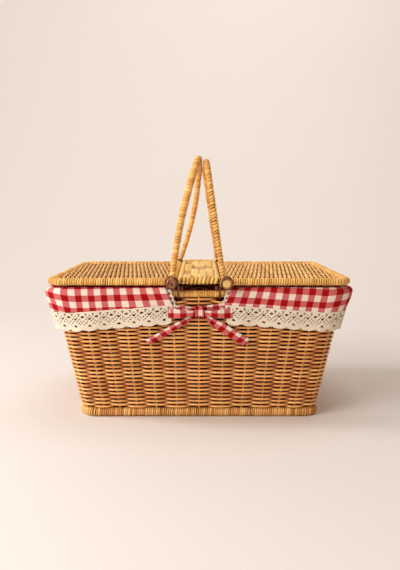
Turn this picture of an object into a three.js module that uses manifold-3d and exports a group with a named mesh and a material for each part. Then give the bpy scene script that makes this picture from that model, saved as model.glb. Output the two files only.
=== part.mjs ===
// Double-lid wicker picnic basket with swing handles and a tied gingham liner.
// Millimetres, +Z up, +X along the lids, the bow side facing -Y, origin on the floor under the middle.
import * as THREE from "three";
import { mergeVertices } from "three/addons/utils/BufferGeometryUtils.js";
import Module from "manifold-3d";

// Clearances
const SEAT_GAP = 0.3; // between pieces that rest on or against each other
const RUNNING_GAP = 0.4; // between a hinge peg and the handle's eye that turns on it
const SWING_GAP = 1; // between pieces that pass each other as they swing

// Foot border
const FOOT_LENGTH = 332;
const FOOT_DEPTH = 218;
const FOOT_CORNER = 24;
const FOOT_WIDTH = 12;
const FOOT_HEIGHT = 13;
const FOOT_EDGE = 4; // rounding of its section

// Base panel
const BASE_THICKNESS = 7;
const BASE_RAISE = 6; // its underside above the floor

// Top rim, a bound rod
const RIM_LENGTH = 388;
const RIM_DEPTH = 274;
const RIM_CORNER = 28;
const RIM_DIAMETER = 10;
const RIM_HEIGHT = 174; // of the rod's middle above the floor

// Woven wall: rows of strands that pass in and out of upright stakes
const WALL_THICKNESS = 8;
const WALL_STRAND = 2.8; // rise from row to row
const COLUMN_BULGE = 2; // of a strand outside its stake, past the wall's thickness
const COLUMN_DIP = 1; // of the next strand, which passes inside the stake
const COLUMNS_LONG = 11;
const COLUMNS_SHORT = 7;
const STAKE_EASE = 0.17; // stakes stand closer together towards the corners

// Lids
const LID_OVERHANG = 6; // past the rim
const LID_CORNER = 22;
const LID_INNER_CORNER = 14;
const LID_ROD = 12;
const LID_LIFT = 5; // clear height between rim and lid
const LID_PANEL = 7;
const LID_STRAND = 4.7; // pitch of the woven strands
const LID_STAKES = 9; // that the strands pass over and under
const STRAND_LIFT = 1.5; // of a strand's middle over a stake, from the panel's middle
const HINGE_GAP = 2; // between bridge and lid
const PEG_DIAMETER = 10; // carries the lid in its wire loop and the handle in its eye
const PEG_TIP = 0.8; // past the tie that keeps the handle on

// Fixed bridge between the lids
const BRIDGE_WIDTH = 54;
const BRIDGE_SIDE_ROD = 8;
const BRIDGE_END_ROD = 10;
const BRIDGE_RIB = 4;
const RIB_COUNT = 3;
const STRIP_THICKNESS = 1.2;
const STRIP_GAP = 0.8;
const STRIP_COUNT = 4;
const POST_DIAMETER = 5;

// Handles
const HANDLE_DIAMETER = 10; // over the binding
const HANDLE_CORE = 6;
const HANDLE_RISE = 161; // pivot to the middle of the grip, along the handle
const HANDLE_CORNER = 40;
const HANDLE_TOP_GAP = 2; // between the two grips
const HANDLE_LEAN = 4; // the grips meet this far right of the middle
const EYE_DIAMETER = 16;
const EYE_THICKNESS = 8;
const LOOP_ROOM = 6; // between lid and handle leg, where the hinge loop swings

// Brown wire
const WIRE = 2.2;
const TIE_WIRE = 2.2;
const LOOP_SLACK = 1.8; // between a hinge loop and the peg in it
const HOOK_SLACK = 0.6; // between a loop's hook and the rim

// Liner, lace and bows
const CLOTH = 1.5;
const LINER_EASE = 0.5;
const POUCH_DROP = 23.5; // pouch hem below the rim's middle
const SKIRT_BULGE = 5.5; // cloth outside the rim
const SKIRT_DROP_END = 24.5; // skirt hem below the rim's middle round the ends
const SKIRT_DROP_GAP = 14.5; // and beside the middle gap
const SKIRT_OPENING = 10; // from the lid hinge to the skirt's edge
const SKIRT_STAND = 3.5; // hem off the wall
const FOLD_DEPTH = 1.2;
const FOLD_PITCH = 62;
const SKIRT_STEP = 22; // spacing of the skirt's sections
const LACE_HEIGHT = 25;
const LACE_THICKNESS = 1.2;
const SCALLOP_PITCH = 19;
const SCALLOP_DEPTH = 3;
const BOW_DROP = 22.5; // knot below the rim's middle
const RIBBON_WIDTH = 11;
const RIBBON_THICKNESS = 1.2;
const KNOT_WIDTH = 12;
const KNOT_HEIGHT = 15;
const KNOT_DEPTH = 9;
const BOW_LOOP_LENGTH = 37;
const BOW_LOOP_DEPTH = 9;
const TAIL_LENGTH = 77;
const TAIL_SLOPE = 33; // degrees below level

const SIDES = { left: -1, right: 1 };
const ENDS = { front: -1, back: 1 };
const CORNER_STEPS = 3; // facets of wall and pouch round a corner

// Heights and places that follow from the sizes above
const RIM_RADIUS = RIM_DIAMETER / 2;
const WALL_TOP = RIM_HEIGHT - RIM_RADIUS - SEAT_GAP;
const WALL_BOTTOM = FOOT_HEIGHT + SEAT_GAP;
const AXIS_HEIGHT = RIM_HEIGHT + RIM_RADIUS + LID_LIFT + LID_ROD / 2;
const LID_HALF_LENGTH = RIM_LENGTH / 2 + LID_OVERHANG;
const LID_HALF_DEPTH = RIM_DEPTH / 2 + LID_OVERHANG;
const HINGE_X = BRIDGE_WIDTH / 2 + HINGE_GAP + LID_ROD / 2;
const LEG_Y = LID_HALF_DEPTH + LOOP_ROOM + HANDLE_DIAMETER / 2;
const LOOP_RADIUS = PEG_DIAMETER / 2 + LOOP_SLACK + WIRE / 2;
const LOOP_Y = LID_HALF_DEPTH + SWING_GAP + WIRE;
const RIM_AXIS_Y = RIM_DEPTH / 2 - RIM_RADIUS;
const HOOK_X = HINGE_X - LOOP_RADIUS;
const TIE_Y = LEG_Y + EYE_THICKNESS / 2 + SEAT_GAP + TIE_WIRE / 2;
const PEG_END = TIE_Y + TIE_WIRE / 2 + PEG_TIP;
const SKIRT_EDGE_X = HINGE_X + SKIRT_OPENING;
const POUCH_HEM = RIM_HEIGHT - POUCH_DROP;

const wasm = await Module();
wasm.setup();

const basket = new THREE.Group();
basket.name = "picnic_basket";

const cane = new THREE.MeshStandardMaterial({ color: "#c98a45", roughness: 0.45, metalness: 0 });
const paleCane = new THREE.MeshStandardMaterial({ color: "#d9a85c", roughness: 0.4, metalness: 0 });
const stripCane = new THREE.MeshStandardMaterial({ color: "#dcaa5a", roughness: 0.35, metalness: 0 });
const rattan = new THREE.MeshStandardMaterial({ color: "#a8703a", roughness: 0.6, metalness: 0 });
const brownWire = new THREE.MeshStandardMaterial({ color: "#4a2616", roughness: 0.4, metalness: 0 });
const gingham = new THREE.MeshStandardMaterial({ color: "#d98e86", roughness: 0.9, metalness: 0 });
const lining = new THREE.MeshStandardMaterial({ color: "#e3b4ac", roughness: 0.9, metalness: 0 });
const laceCotton = new THREE.MeshStandardMaterial({ color: "#efe6d3", roughness: 0.9, metalness: 0 });

function place(name, geometry, material, group = basket) {
  const mesh = new THREE.Mesh(geometry, material);
  mesh.name = name;
  group.add(mesh);
}

// A geometry as a closed solid for joining and cutting.
function solid(geometry) {
  const bare = geometry.clone();
  bare.deleteAttribute("normal");
  bare.deleteAttribute("uv");
  const merged = mergeVertices(bare, 1e-4);
  const vertProperties = new Float32Array(merged.attributes.position.array);
  const triVerts = new Uint32Array(merged.index.array);
  return new wasm.Manifold(new wasm.Mesh({ numProp: 3, vertProperties, triVerts }));
}

function surface(manifold) {
  const mesh = manifold.getMesh();
  const geometry = new THREE.BufferGeometry();
  geometry.setAttribute("position", new THREE.BufferAttribute(mesh.vertProperties, 3));
  geometry.setIndex(new THREE.BufferAttribute(mesh.triVerts, 1));
  geometry.computeVertexNormals();
  return geometry;
}

function joined(...geometries) {
  return surface(geometries.map(solid).reduce((whole, next) => whole.add(next)));
}

// Triangles over the flat end ring of a skin, facing along the ring's own normal.
function capFaces(ring) {
  const normal = new THREE.Vector3();
  ring.forEach((p, i) => {
    const q = ring[(i + 1) % ring.length];
    normal.x += (p.y - q.y) * (p.z + q.z);
    normal.y += (p.z - q.z) * (p.x + q.x);
    normal.z += (p.x - q.x) * (p.y + q.y);
  });
  normal.normalize();
  const across = ring[1].clone().sub(ring[0]).normalize();
  const along = normal.clone().cross(across);
  const flat = ring.map((p) => new THREE.Vector2(p.dot(across), p.dot(along)));
  return THREE.ShapeUtils.triangulateShape(flat, []);
}

// Whether four corners, taken round a face, fold outwards along the line from second to fourth.
function foldsOut(a, b, c, d) {
  const normal = b.clone().sub(a).cross(d.clone().sub(a));
  return normal.dot(c.clone().sub(a)) < 0;
}

// Skin over a row of closed rings with equal counts: joined into a loop, or capped at both ends.
// In a woven skin each face folds along its hollow, so that every crossing stands out by itself.
function skin(rings, looped, woven = false) {
  const count = rings[0].length;
  const points = rings.flat();
  const index = [];
  const steps = looped ? rings.length : rings.length - 1;
  for (let i = 0; i < steps; i++) {
    const here = i * count;
    const next = ((i + 1) % rings.length) * count;
    for (let j = 0; j < count; j++) {
      const k = (j + 1) % count;
      const corners = [here + j, next + j, next + k, here + k];
      if (woven && foldsOut(...corners.map((corner) => points[corner]))) corners.push(corners.shift());
      const [a, b, c, d] = corners;
      index.push(a, b, d, b, c, d);
    }
  }
  if (!looped) {
    const last = (rings.length - 1) * count;
    for (const [a, b, c] of capFaces(rings[0])) index.push(a, b, c);
    for (const [a, b, c] of capFaces(rings.at(-1))) index.push(last + a, last + c, last + b);
  }
  const geometry = new THREE.BufferGeometry().setFromPoints(points);
  geometry.setIndex(index);
  geometry.computeVertexNormals();
  return geometry;
}

// Stations round a rounded rectangle, anticlockwise from the front-left, each with its outward direction.
// The long and short sides have stations at the given shares of their straight run.
function outline(length, depth, corner, { long = [0], short = [0], turn = 4 } = {}) {
  const halfX = length / 2 - corner;
  const halfY = depth / 2 - corner;
  const centres = [[halfX, -halfY], [halfX, halfY], [-halfX, halfY], [-halfX, -halfY]];
  const shares = [long, short, long, short];
  const stations = [];
  const add = (x, y, angle) => {
    const nx = Math.cos(angle);
    const ny = Math.sin(angle);
    stations.push({ x: x + corner * nx, y: y + corner * ny, nx, ny });
  };
  centres.forEach(([toX, toY], side) => {
    const [fromX, fromY] = centres[(side + 3) % 4];
    const facing = ((side - 1) * Math.PI) / 2;
    for (const t of shares[side]) add(fromX + (toX - fromX) * t, fromY + (toY - fromY) * t, facing);
    for (let i = 0; i < turn; i++) add(toX, toY, facing + ((i / turn) * Math.PI) / 2);
  });
  return stations;
}

const at = ({ x, y, nx, ny }, out, z) => new THREE.Vector3(x + nx * out, y + ny * out, z);

// A section of [outset, height] points carried along stations.
function sweep(stations, sectionAt, looped = true) {
  return skin(stations.map((s, i) => sectionAt(s, i).map(([out, z]) => at(s, out, z))), looped);
}

function circleSection(out, z, radius, sides) {
  return Array.from({ length: sides }, (_, i) => {
    const angle = ((i + 0.5) / sides) * 2 * Math.PI;
    return [out + radius * Math.cos(angle), z + radius * Math.sin(angle)];
  });
}

// Rounded-rectangle section with flat top and bottom.
function roundedSection(out, bottom, top, width, edge) {
  const points = [];
  for (let quarter = 0; quarter < 4; quarter++) {
    const right = quarter === 0 || quarter === 3;
    const high = quarter < 2;
    const middleOut = right ? out + width / 2 - edge : out - width / 2 + edge;
    const middleZ = high ? top - edge : bottom + edge;
    for (let i = 0; i < 3; i++) {
      const angle = ((quarter + i / 2) * Math.PI) / 2;
      points.push([middleOut + edge * Math.cos(angle), middleZ + edge * Math.sin(angle)]);
    }
  }
  return points;
}

// Section of a sheet that follows a line of [outset, height] points.
function sheetSection(line, thickness) {
  const sideOf = (sign) => line.map(([out, z], i) => {
    const [beforeOut, beforeZ] = line[Math.max(i - 1, 0)];
    const [afterOut, afterZ] = line[Math.min(i + 1, line.length - 1)];
    const run = Math.hypot(afterOut - beforeOut, afterZ - beforeZ);
    const reach = (sign * thickness) / 2 / run;
    return [out - (afterZ - beforeZ) * reach, z + (afterOut - beforeOut) * reach];
  });
  return [...sideOf(-1), ...sideOf(1).reverse()];
}

function tube(curve, radius, steps, sides) {
  const ring = circleSection(0, 0, radius, sides).map(([x, y]) => new THREE.Vector2(x, y));
  return new THREE.ExtrudeGeometry(new THREE.Shape(ring), { steps, extrudePath: curve, bevelEnabled: false });
}

// Round bars along one axis between two points on it.
function barY(diameter, x, z, fromY, toY, sides = 16) {
  const bar = new THREE.CylinderGeometry(diameter / 2, diameter / 2, Math.abs(toY - fromY), sides);
  return bar.translate(x, (fromY + toY) / 2, z);
}

function barX(diameter, y, z, fromX, toX, sides = 16) {
  const bar = new THREE.CylinderGeometry(diameter / 2, diameter / 2, toX - fromX, sides).rotateZ(Math.PI / 2);
  return bar.translate((fromX + toX) / 2, y, z);
}

function barZ(diameter, x, y, fromZ, toZ, sides = 8) {
  const bar = new THREE.CylinderGeometry(diameter / 2, diameter / 2, toZ - fromZ, sides).rotateX(Math.PI / 2);
  return bar.translate(x, y, (fromZ + toZ) / 2);
}

function roundedShape(fromX, toX, halfY, fromCorner, toCorner) {
  const shape = new THREE.Shape();
  shape.moveTo(fromX + fromCorner, -halfY);
  shape.lineTo(toX - toCorner, -halfY);
  shape.absarc(toX - toCorner, -halfY + toCorner, toCorner, -Math.PI / 2, 0);
  shape.absarc(toX - toCorner, halfY - toCorner, toCorner, 0, Math.PI / 2);
  shape.lineTo(fromX + fromCorner, halfY);
  shape.absarc(fromX + fromCorner, halfY - fromCorner, fromCorner, Math.PI / 2, Math.PI);
  shape.absarc(fromX + fromCorner, -halfY + fromCorner, fromCorner, Math.PI, 1.5 * Math.PI);
  return shape;
}

// Slope of the wall towards an outward direction, from the outlines of foot and rim.
function wallFlare({ nx, ny }) {
  const spread = (rim, foot) => rim / 2 - RIM_CORNER - foot / 2 + FOOT_CORNER;
  const corner = RIM_CORNER - RIM_RADIUS - FOOT_CORNER + FOOT_WIDTH / 2;
  const alongX = spread(RIM_LENGTH, FOOT_LENGTH) * Math.abs(nx);
  const alongY = spread(RIM_DEPTH, FOOT_DEPTH) * Math.abs(ny);
  return (alongX + alongY + corner) / (WALL_TOP - WALL_BOTTOM);
}

// Outset of the wall's middle from the rim's outline at a height.
function wallMiddle(direction, z) {
  return -RIM_RADIUS - (WALL_TOP - z) * wallFlare(direction);
}

// The wall's middle at a height, all the way round.
function wallOutline(z, steps) {
  const low = outline(FOOT_LENGTH, FOOT_DEPTH, FOOT_CORNER, steps);
  const high = outline(RIM_LENGTH, RIM_DEPTH, RIM_CORNER, steps);
  const t = (z - WALL_BOTTOM) / (WALL_TOP - WALL_BOTTOM);
  return low.map((foot, i) => {
    const a = at(foot, -FOOT_WIDTH / 2, z);
    const b = at(high[i], -RIM_RADIUS, z);
    const { x, y } = a.lerp(b, t);
    return { x, y, nx: foot.nx, ny: foot.ny };
  });
}

function makeFoot() {
  const section = roundedSection(-FOOT_WIDTH / 2, 0, FOOT_HEIGHT, FOOT_WIDTH, FOOT_EDGE);
  place("foot_border", sweep(outline(FOOT_LENGTH, FOOT_DEPTH, FOOT_CORNER), () => section), cane);
  const inset = FOOT_WIDTH + SEAT_GAP;
  const halfX = FOOT_LENGTH / 2 - inset;
  const corner = FOOT_CORNER - inset;
  const shape = roundedShape(-halfX, halfX, FOOT_DEPTH / 2 - inset, corner, corner);
  const panel = new THREE.ExtrudeGeometry(shape, {
    depth: BASE_THICKNESS,
    bevelEnabled: false,
    curveSegments: 4,
  });
  place("base_panel", panel.translate(0, 0, BASE_RAISE), cane);
}

// Shares of a straight side at which its stakes stand, after the start of the side.
function stakeShares(count) {
  const stakes = Array.from({ length: count }, (_, i) => (i + 0.5) / count);
  return [0, ...stakes.map((t) => t - (STAKE_EASE * Math.sin(2 * Math.PI * t)) / (2 * Math.PI))];
}

// For each station round the wall: its stake's number, and how far a strand bends there.
function weaveColumns() {
  const columns = [];
  let stake = 0;
  for (const count of [COLUMNS_LONG, COLUMNS_SHORT, COLUMNS_LONG, COLUMNS_SHORT]) {
    columns.push({ stake, bend: 0 });
    for (let i = 0; i < count; i++) columns.push({ stake: stake++, bend: 1 });
    for (let i = 0; i < CORNER_STEPS; i++) {
      columns.push({ stake, bend: Math.sin((i / CORNER_STEPS) * Math.PI) });
    }
    stake++;
  }
  return columns;
}

// Tapered wall between foot and rim: strands in and out of the stakes, each row against the next,
// and slots under the rim for the hinge hooks.
function makeWall() {
  const steps = { long: stakeShares(COLUMNS_LONG), short: stakeShares(COLUMNS_SHORT), turn: CORNER_STEPS };
  const low = wallOutline(WALL_BOTTOM, steps);
  const high = wallOutline(WALL_TOP, steps);
  const rows = Math.round((WALL_TOP - WALL_BOTTOM) / WALL_STRAND);
  const between = (COLUMN_BULGE - COLUMN_DIP) / 2;
  const swing = (COLUMN_BULGE + COLUMN_DIP) / 2;
  const rings = weaveColumns().map(({ stake, bend }, i) => {
    const point = (share, out) => at(low[i], out, WALL_BOTTOM).lerp(at(high[i], out, WALL_TOP), share);
    const face = Array.from({ length: rows }, (_, row) => {
      const turn = (row + stake) % 2 === 0 ? swing : -swing;
      return point((row + 0.5) / rows, WALL_THICKNESS / 2 + between + turn * bend);
    });
    const edge = WALL_THICKNESS / 2 + between;
    return [
      point(0, edge),
      ...face,
      point(1, edge),
      point(1, -WALL_THICKNESS / 2),
      point(0, -WALL_THICKNESS / 2),
    ];
  });
  let wall = solid(skin(rings, true, true));
  const slotDepth = HOOK_SLACK + WIRE + SWING_GAP;
  const slotWidth = WIRE + 2 * SWING_GAP;
  for (const side of Object.values(SIDES)) {
    for (const end of Object.values(ENDS)) {
      const slot = new THREE.BoxGeometry(slotWidth, 3 * WALL_THICKNESS, 2 * slotDepth);
      wall = wall.subtract(solid(slot.translate(side * HOOK_X, end * RIM_AXIS_Y, WALL_TOP)));
    }
  }
  place("woven_wall", surface(wall), cane);
}

function makeRim() {
  const section = circleSection(-RIM_RADIUS, RIM_HEIGHT, RIM_RADIUS, 12);
  place("top_rim", sweep(outline(RIM_LENGTH, RIM_DEPTH, RIM_CORNER), () => section), cane);
}

// Side rods, end rods across, and posts down to the rim.
function makeBridge() {
  const endY = LID_HALF_DEPTH - BRIDGE_END_ROD / 2;
  const rodX = BRIDGE_WIDTH / 2 - BRIDGE_SIDE_ROD / 2;
  const bars = [];
  for (const side of Object.values(SIDES)) {
    bars.push(barY(BRIDGE_SIDE_ROD, side * rodX, AXIS_HEIGHT, -endY, endY));
  }
  for (const end of Object.values(ENDS)) {
    bars.push(barX(BRIDGE_END_ROD, end * endY, AXIS_HEIGHT, -BRIDGE_WIDTH / 2, BRIDGE_WIDTH / 2));
  }
  place("bridge_frame", joined(...bars), paleCane);
  makeBridgeStrips(rodX - BRIDGE_SIDE_ROD / 2 - SEAT_GAP, endY - BRIDGE_END_ROD / 2 - SEAT_GAP);
  const postTop = AXIS_HEIGHT - BRIDGE_END_ROD / 2 - SEAT_GAP;
  const postFoot = RIM_HEIGHT + RIM_RADIUS + SEAT_GAP;
  const postY = (endY + RIM_AXIS_Y) / 2;
  for (const [sideName, side] of Object.entries(SIDES)) {
    for (const [endName, end] of Object.entries(ENDS)) {
      const post = barZ(POST_DIAMETER, side * rodX, end * postY, postFoot, postTop);
      place(`bridge_post_${endName}_${sideName}`, post, rattan);
    }
  }
}

// Wide flat strips from end to end, woven over and under ribs across the bridge.
function makeBridgeStrips(halfX, halfY) {
  const pitch = (2 * halfX) / STRIP_COUNT;
  const span = (2 * halfY) / RIB_COUNT;
  const bite = 0.3; // of a strip into the rib it crosses
  const wave = (BRIDGE_RIB + STRIP_THICKNESS) / 2 - bite;
  const pieces = [];
  for (let i = 0; i < RIB_COUNT; i++) {
    pieces.push(barX(BRIDGE_RIB, -halfY + (i + 0.5) * span, AXIS_HEIGHT, -halfX, halfX, 8));
  }
  const samples = 4; // along a strip from rib to rib
  for (let i = 0; i < STRIP_COUNT; i++) {
    const line = Array.from({ length: RIB_COUNT * samples + 1 }, (_, k) => {
      const spans = k / samples;
      return [-halfY + spans * span, wave * Math.sin((spans + i) * Math.PI)];
    });
    const section = sheetSection(line, STRIP_THICKNESS).map(([y, z]) => new THREE.Vector2(y, z));
    const strip = new THREE.ExtrudeGeometry(new THREE.Shape(section), {
      depth: pitch - STRIP_GAP,
      bevelEnabled: false,
    });
    strip.rotateX(Math.PI / 2).rotateZ(Math.PI / 2);
    pieces.push(strip.translate(-halfX + i * pitch + STRIP_GAP / 2, 0, AXIS_HEIGHT));
  }
  place("bridge_strips", joined(...pieces), stripCane);
}

// A lid's outline: tight corners beside the bridge, wider ones at the outer end.
function lidOutline(innerX, side) {
  const turn = 4;
  const corners = [
    [LID_HALF_LENGTH - LID_CORNER, -LID_HALF_DEPTH + LID_CORNER, LID_CORNER],
    [LID_HALF_LENGTH - LID_CORNER, LID_HALF_DEPTH - LID_CORNER, LID_CORNER],
    [innerX + LID_INNER_CORNER, LID_HALF_DEPTH - LID_INNER_CORNER, LID_INNER_CORNER],
    [innerX + LID_INNER_CORNER, -LID_HALF_DEPTH + LID_INNER_CORNER, LID_INNER_CORNER],
  ];
  return corners.flatMap(([x, y, radius], quarter) => Array.from({ length: turn + 1 }, (_, i) => {
    const angle = ((quarter - 1 + i / turn) * Math.PI) / 2;
    const nx = side * Math.cos(angle);
    const ny = side * Math.sin(angle);
    return { x: side * x + radius * nx, y: side * y + radius * ny, nx, ny };
  }));
}

// Woven infill of a lid: strands front to back, over and under stakes across the lid, each strand
// against the next, trimmed to the border's inside.
function lidWeave(fromX, toX, halfY, innerCorner, outerCorner) {
  const strands = Math.round((toX - fromX) / LID_STRAND);
  const reach = LID_PANEL / 2 - STRAND_LIFT; // from a strand's middle to its face
  const ring = (x, lift) => {
    const middles = Array.from({ length: LID_STAKES }, (_, k) => [
      halfY * ((2 * k + 1) / LID_STAKES - 1),
      k % 2 === 0 ? lift : -lift,
    ]);
    const line = [[-halfY, 0], ...middles, [halfY, 0]];
    const face = (sign) => line.map(([y, z]) => new THREE.Vector3(x, y, AXIS_HEIGHT + z + sign * reach));
    return [...face(-1).reverse(), ...face(1)];
  };
  const rings = Array.from({ length: strands }, (_, i) => (
    ring(fromX + ((i + 0.5) / strands) * (toX - fromX), i % 2 === 0 ? STRAND_LIFT : -STRAND_LIFT)
  ));
  const weave = solid(skin([ring(fromX, 0), ...rings, ring(toX, 0)], false, true));
  const shape = roundedShape(fromX, toX, halfY, innerCorner, outerCorner);
  const trim = new THREE.ExtrudeGeometry(shape, {
    depth: 2 * LID_PANEL,
    bevelEnabled: false,
    curveSegments: 3,
  });
  trim.translate(0, 0, AXIS_HEIGHT - LID_PANEL);
  return surface(weave.intersect(solid(trim)));
}

// Border rod, a tied hinge peg on each inner corner, and the woven infill.
function makeLid(sideName, side) {
  const lid = new THREE.Group();
  lid.name = `lid_${sideName}`;
  basket.add(lid);
  const innerX = HINGE_X - LID_ROD / 2;
  const stations = lidOutline(innerX, side);
  const border = (gap) => {
    const section = circleSection(-LID_ROD / 2, AXIS_HEIGHT, LID_ROD / 2 + gap, 10);
    return sweep(stations, () => section);
  };
  place(`lid_border_${sideName}`, border(0), paleCane, lid);
  const saddle = solid(border(SEAT_GAP));
  for (const [endName, end] of Object.entries(ENDS)) {
    const fromY = end * (LID_HALF_DEPTH - LID_INNER_CORNER / 2);
    const peg = solid(barY(PEG_DIAMETER, side * HINGE_X, AXIS_HEIGHT, fromY, end * PEG_END)).subtract(saddle);
    place(`hinge_peg_${endName}_${sideName}`, surface(peg), rattan, lid);
    const tie = new THREE.TorusGeometry((PEG_DIAMETER + TIE_WIRE) / 2 + SEAT_GAP, TIE_WIRE / 2, 5, 12);
    tie.rotateX(Math.PI / 2).translate(side * HINGE_X, end * TIE_Y, AXIS_HEIGHT);
    place(`handle_tie_${endName}_${sideName}`, tie, brownWire, lid);
  }
  const inset = LID_ROD + SEAT_GAP;
  const toX = LID_HALF_LENGTH - inset;
  const halfY = LID_HALF_DEPTH - inset;
  const weave = lidWeave(innerX + inset, toX, halfY, LID_INNER_CORNER - inset, LID_CORNER - inset);
  if (side < 0) weave.rotateZ(Math.PI);
  place(`lid_weave_${sideName}`, weave, stripCane, lid);
}

// One wire per lid corner: a ring round the hinge peg, then a shank down to a hook round the rim.
function makeHingeLoop(endName, end, sideName, side) {
  const points = [];
  const add = (x, y, z) => points.push(new THREE.Vector3(side * x, end * y, z));
  const ringSteps = 9;
  const ringStart = THREE.MathUtils.degToRad(-125);
  for (let i = 0; i <= ringSteps; i++) {
    const angle = ringStart + (i / ringSteps) * (Math.PI - ringStart);
    add(HINGE_X + LOOP_RADIUS * Math.cos(angle), LOOP_Y, AXIS_HEIGHT + LOOP_RADIUS * Math.sin(angle));
  }
  const hookRadius = RIM_RADIUS + HOOK_SLACK + WIRE / 2;
  const hookY = RIM_AXIS_Y + hookRadius;
  add(HOOK_X, LOOP_Y, AXIS_HEIGHT - LID_ROD / 2);
  add(HOOK_X, (LOOP_Y + hookY) / 2, (AXIS_HEIGHT - LID_ROD / 2 + RIM_HEIGHT) / 2);
  const hookSteps = 6;
  const hookTurn = THREE.MathUtils.degToRad(200);
  for (let i = 0; i <= hookSteps; i++) {
    const angle = (-i / hookSteps) * hookTurn;
    add(HOOK_X, RIM_AXIS_Y + hookRadius * Math.cos(angle), RIM_HEIGHT + hookRadius * Math.sin(angle));
  }
  const wire = tube(new THREE.CatmullRomCurve3(points), WIRE / 2, 24, 5);
  place(`hinge_loop_${endName}_${sideName}`, wire, brownWire);
}

// Rings square to a path in the handle's plane.
function pathRings(points, radius, sides) {
  return points.map((p, i) => {
    const before = points[Math.max(i - 1, 0)];
    const after = points[Math.min(i + 1, points.length - 1)];
    const along = after.clone().sub(before).normalize();
    return circleSection(0, 0, radius, sides).map(([across, out]) => (
      new THREE.Vector3(across, p.x - along.y * out, p.y + along.x * out)
    ));
  });
}

function handlePath(footHeight) {
  const path = new THREE.Path();
  const bend = HANDLE_RISE - HANDLE_CORNER;
  path.moveTo(-LEG_Y, footHeight);
  path.lineTo(-LEG_Y, bend);
  path.absarc(-LEG_Y + HANDLE_CORNER, bend, HANDLE_CORNER, Math.PI, Math.PI / 2, true);
  path.lineTo(LEG_Y - HANDLE_CORNER, HANDLE_RISE);
  path.absarc(LEG_Y - HANDLE_CORNER, bend, HANDLE_CORNER, Math.PI / 2, 0, true);
  path.lineTo(LEG_Y, footHeight);
  return path.getPoints(4);
}

// Bent rod with an eye on a lid's peg at each foot, under a cane binding, leaning on its neighbour.
function makeHandle(sideName, side) {
  const handle = new THREE.Group();
  handle.name = `handle_${sideName}`;
  handle.position.set(side * HINGE_X, 0, AXIS_HEIGHT);
  const gripX = (HANDLE_TOP_GAP + HANDLE_DIAMETER) / 2 + side * HANDLE_LEAN;
  handle.rotation.y = -side * Math.asin((HINGE_X - gripX) / HANDLE_RISE);
  basket.add(handle);
  const eyeRadius = EYE_DIAMETER / 2;
  const bore = PEG_DIAMETER + 2 * RUNNING_GAP;
  let core = solid(skin(pathRings(handlePath((eyeRadius + bore / 2) / 2), HANDLE_CORE / 2, 6), false));
  for (const end of Object.values(ENDS)) {
    const inner = end * (LEG_Y - EYE_THICKNESS / 2);
    const outer = end * (LEG_Y + EYE_THICKNESS / 2);
    core = core.add(solid(barY(EYE_DIAMETER, 0, 0, inner, outer)));
    const drill = barY(bore, 0, 0, end * (LEG_Y - EYE_THICKNESS), end * (LEG_Y + EYE_THICKNESS));
    core = core.subtract(solid(drill));
  }
  place(`handle_core_${sideName}`, surface(core), rattan, handle);
  const wrapped = handlePath(eyeRadius + SEAT_GAP);
  const outside = pathRings(wrapped, HANDLE_DIAMETER / 2, 8);
  const inside = pathRings(wrapped, HANDLE_CORE / 2 + SEAT_GAP, 8).reverse();
  place(`handle_binding_${sideName}`, skin([...outside, ...inside], true), paleCane, handle);
}

// Cloth tub inside the wall.
function makePouch() {
  const floor = BASE_RAISE + BASE_THICKNESS + SEAT_GAP;
  const outside = -WALL_THICKNESS / 2 - LINER_EASE;
  const steps = { turn: CORNER_STEPS };
  const ring = (z, out, height) => wallOutline(z, steps).map((s) => at(s, out, height)).reverse();
  const rings = [
    ring(floor, outside, floor),
    ring(POUCH_HEM, outside, POUCH_HEM),
    ring(POUCH_HEM, outside - CLOTH, POUCH_HEM),
    ring(floor, outside - CLOTH, floor + CLOTH),
  ];
  place("liner_pouch", skin(rings, false), lining);
}

// Evenly spaced stations along the rim from one edge of the middle gap round an end to the other.
function skirtStations(side, spacing) {
  const halfX = RIM_LENGTH / 2;
  const halfY = RIM_DEPTH / 2;
  const path = new THREE.Path();
  path.moveTo(SKIRT_EDGE_X, -halfY);
  path.lineTo(halfX - RIM_CORNER, -halfY);
  path.absarc(halfX - RIM_CORNER, -halfY + RIM_CORNER, RIM_CORNER, -Math.PI / 2, 0);
  path.lineTo(halfX, halfY - RIM_CORNER);
  path.absarc(halfX - RIM_CORNER, halfY - RIM_CORNER, RIM_CORNER, 0, Math.PI / 2);
  path.lineTo(SKIRT_EDGE_X, halfY);
  const count = Math.round(path.getLength() / spacing);
  return Array.from({ length: count + 1 }, (_, i) => {
    const p = path.getPointAt(i / count);
    const along = path.getTangentAt(i / count);
    return { x: side * p.x, y: side * p.y, nx: side * along.y, ny: -side * along.x, run: i * spacing };
  });
}

// The hem rises from the corners towards the middle gap.
function hemHeight({ x }) {
  const corner = RIM_LENGTH / 2 - RIM_CORNER;
  const t = THREE.MathUtils.clamp((corner - Math.abs(x)) / (corner - SKIRT_EDGE_X), 0, 1);
  return RIM_HEIGHT - THREE.MathUtils.lerp(SKIRT_DROP_END, SKIRT_DROP_GAP, t);
}

// Where the hanging cloth stands at a height, with its soft folds.
function clothOut(station, z) {
  const fold = FOLD_DEPTH * Math.sin((station.run / FOLD_PITCH) * 2 * Math.PI);
  return wallMiddle(station, z) + WALL_THICKNESS / 2 + COLUMN_BULGE + SKIRT_STAND + fold;
}

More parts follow.
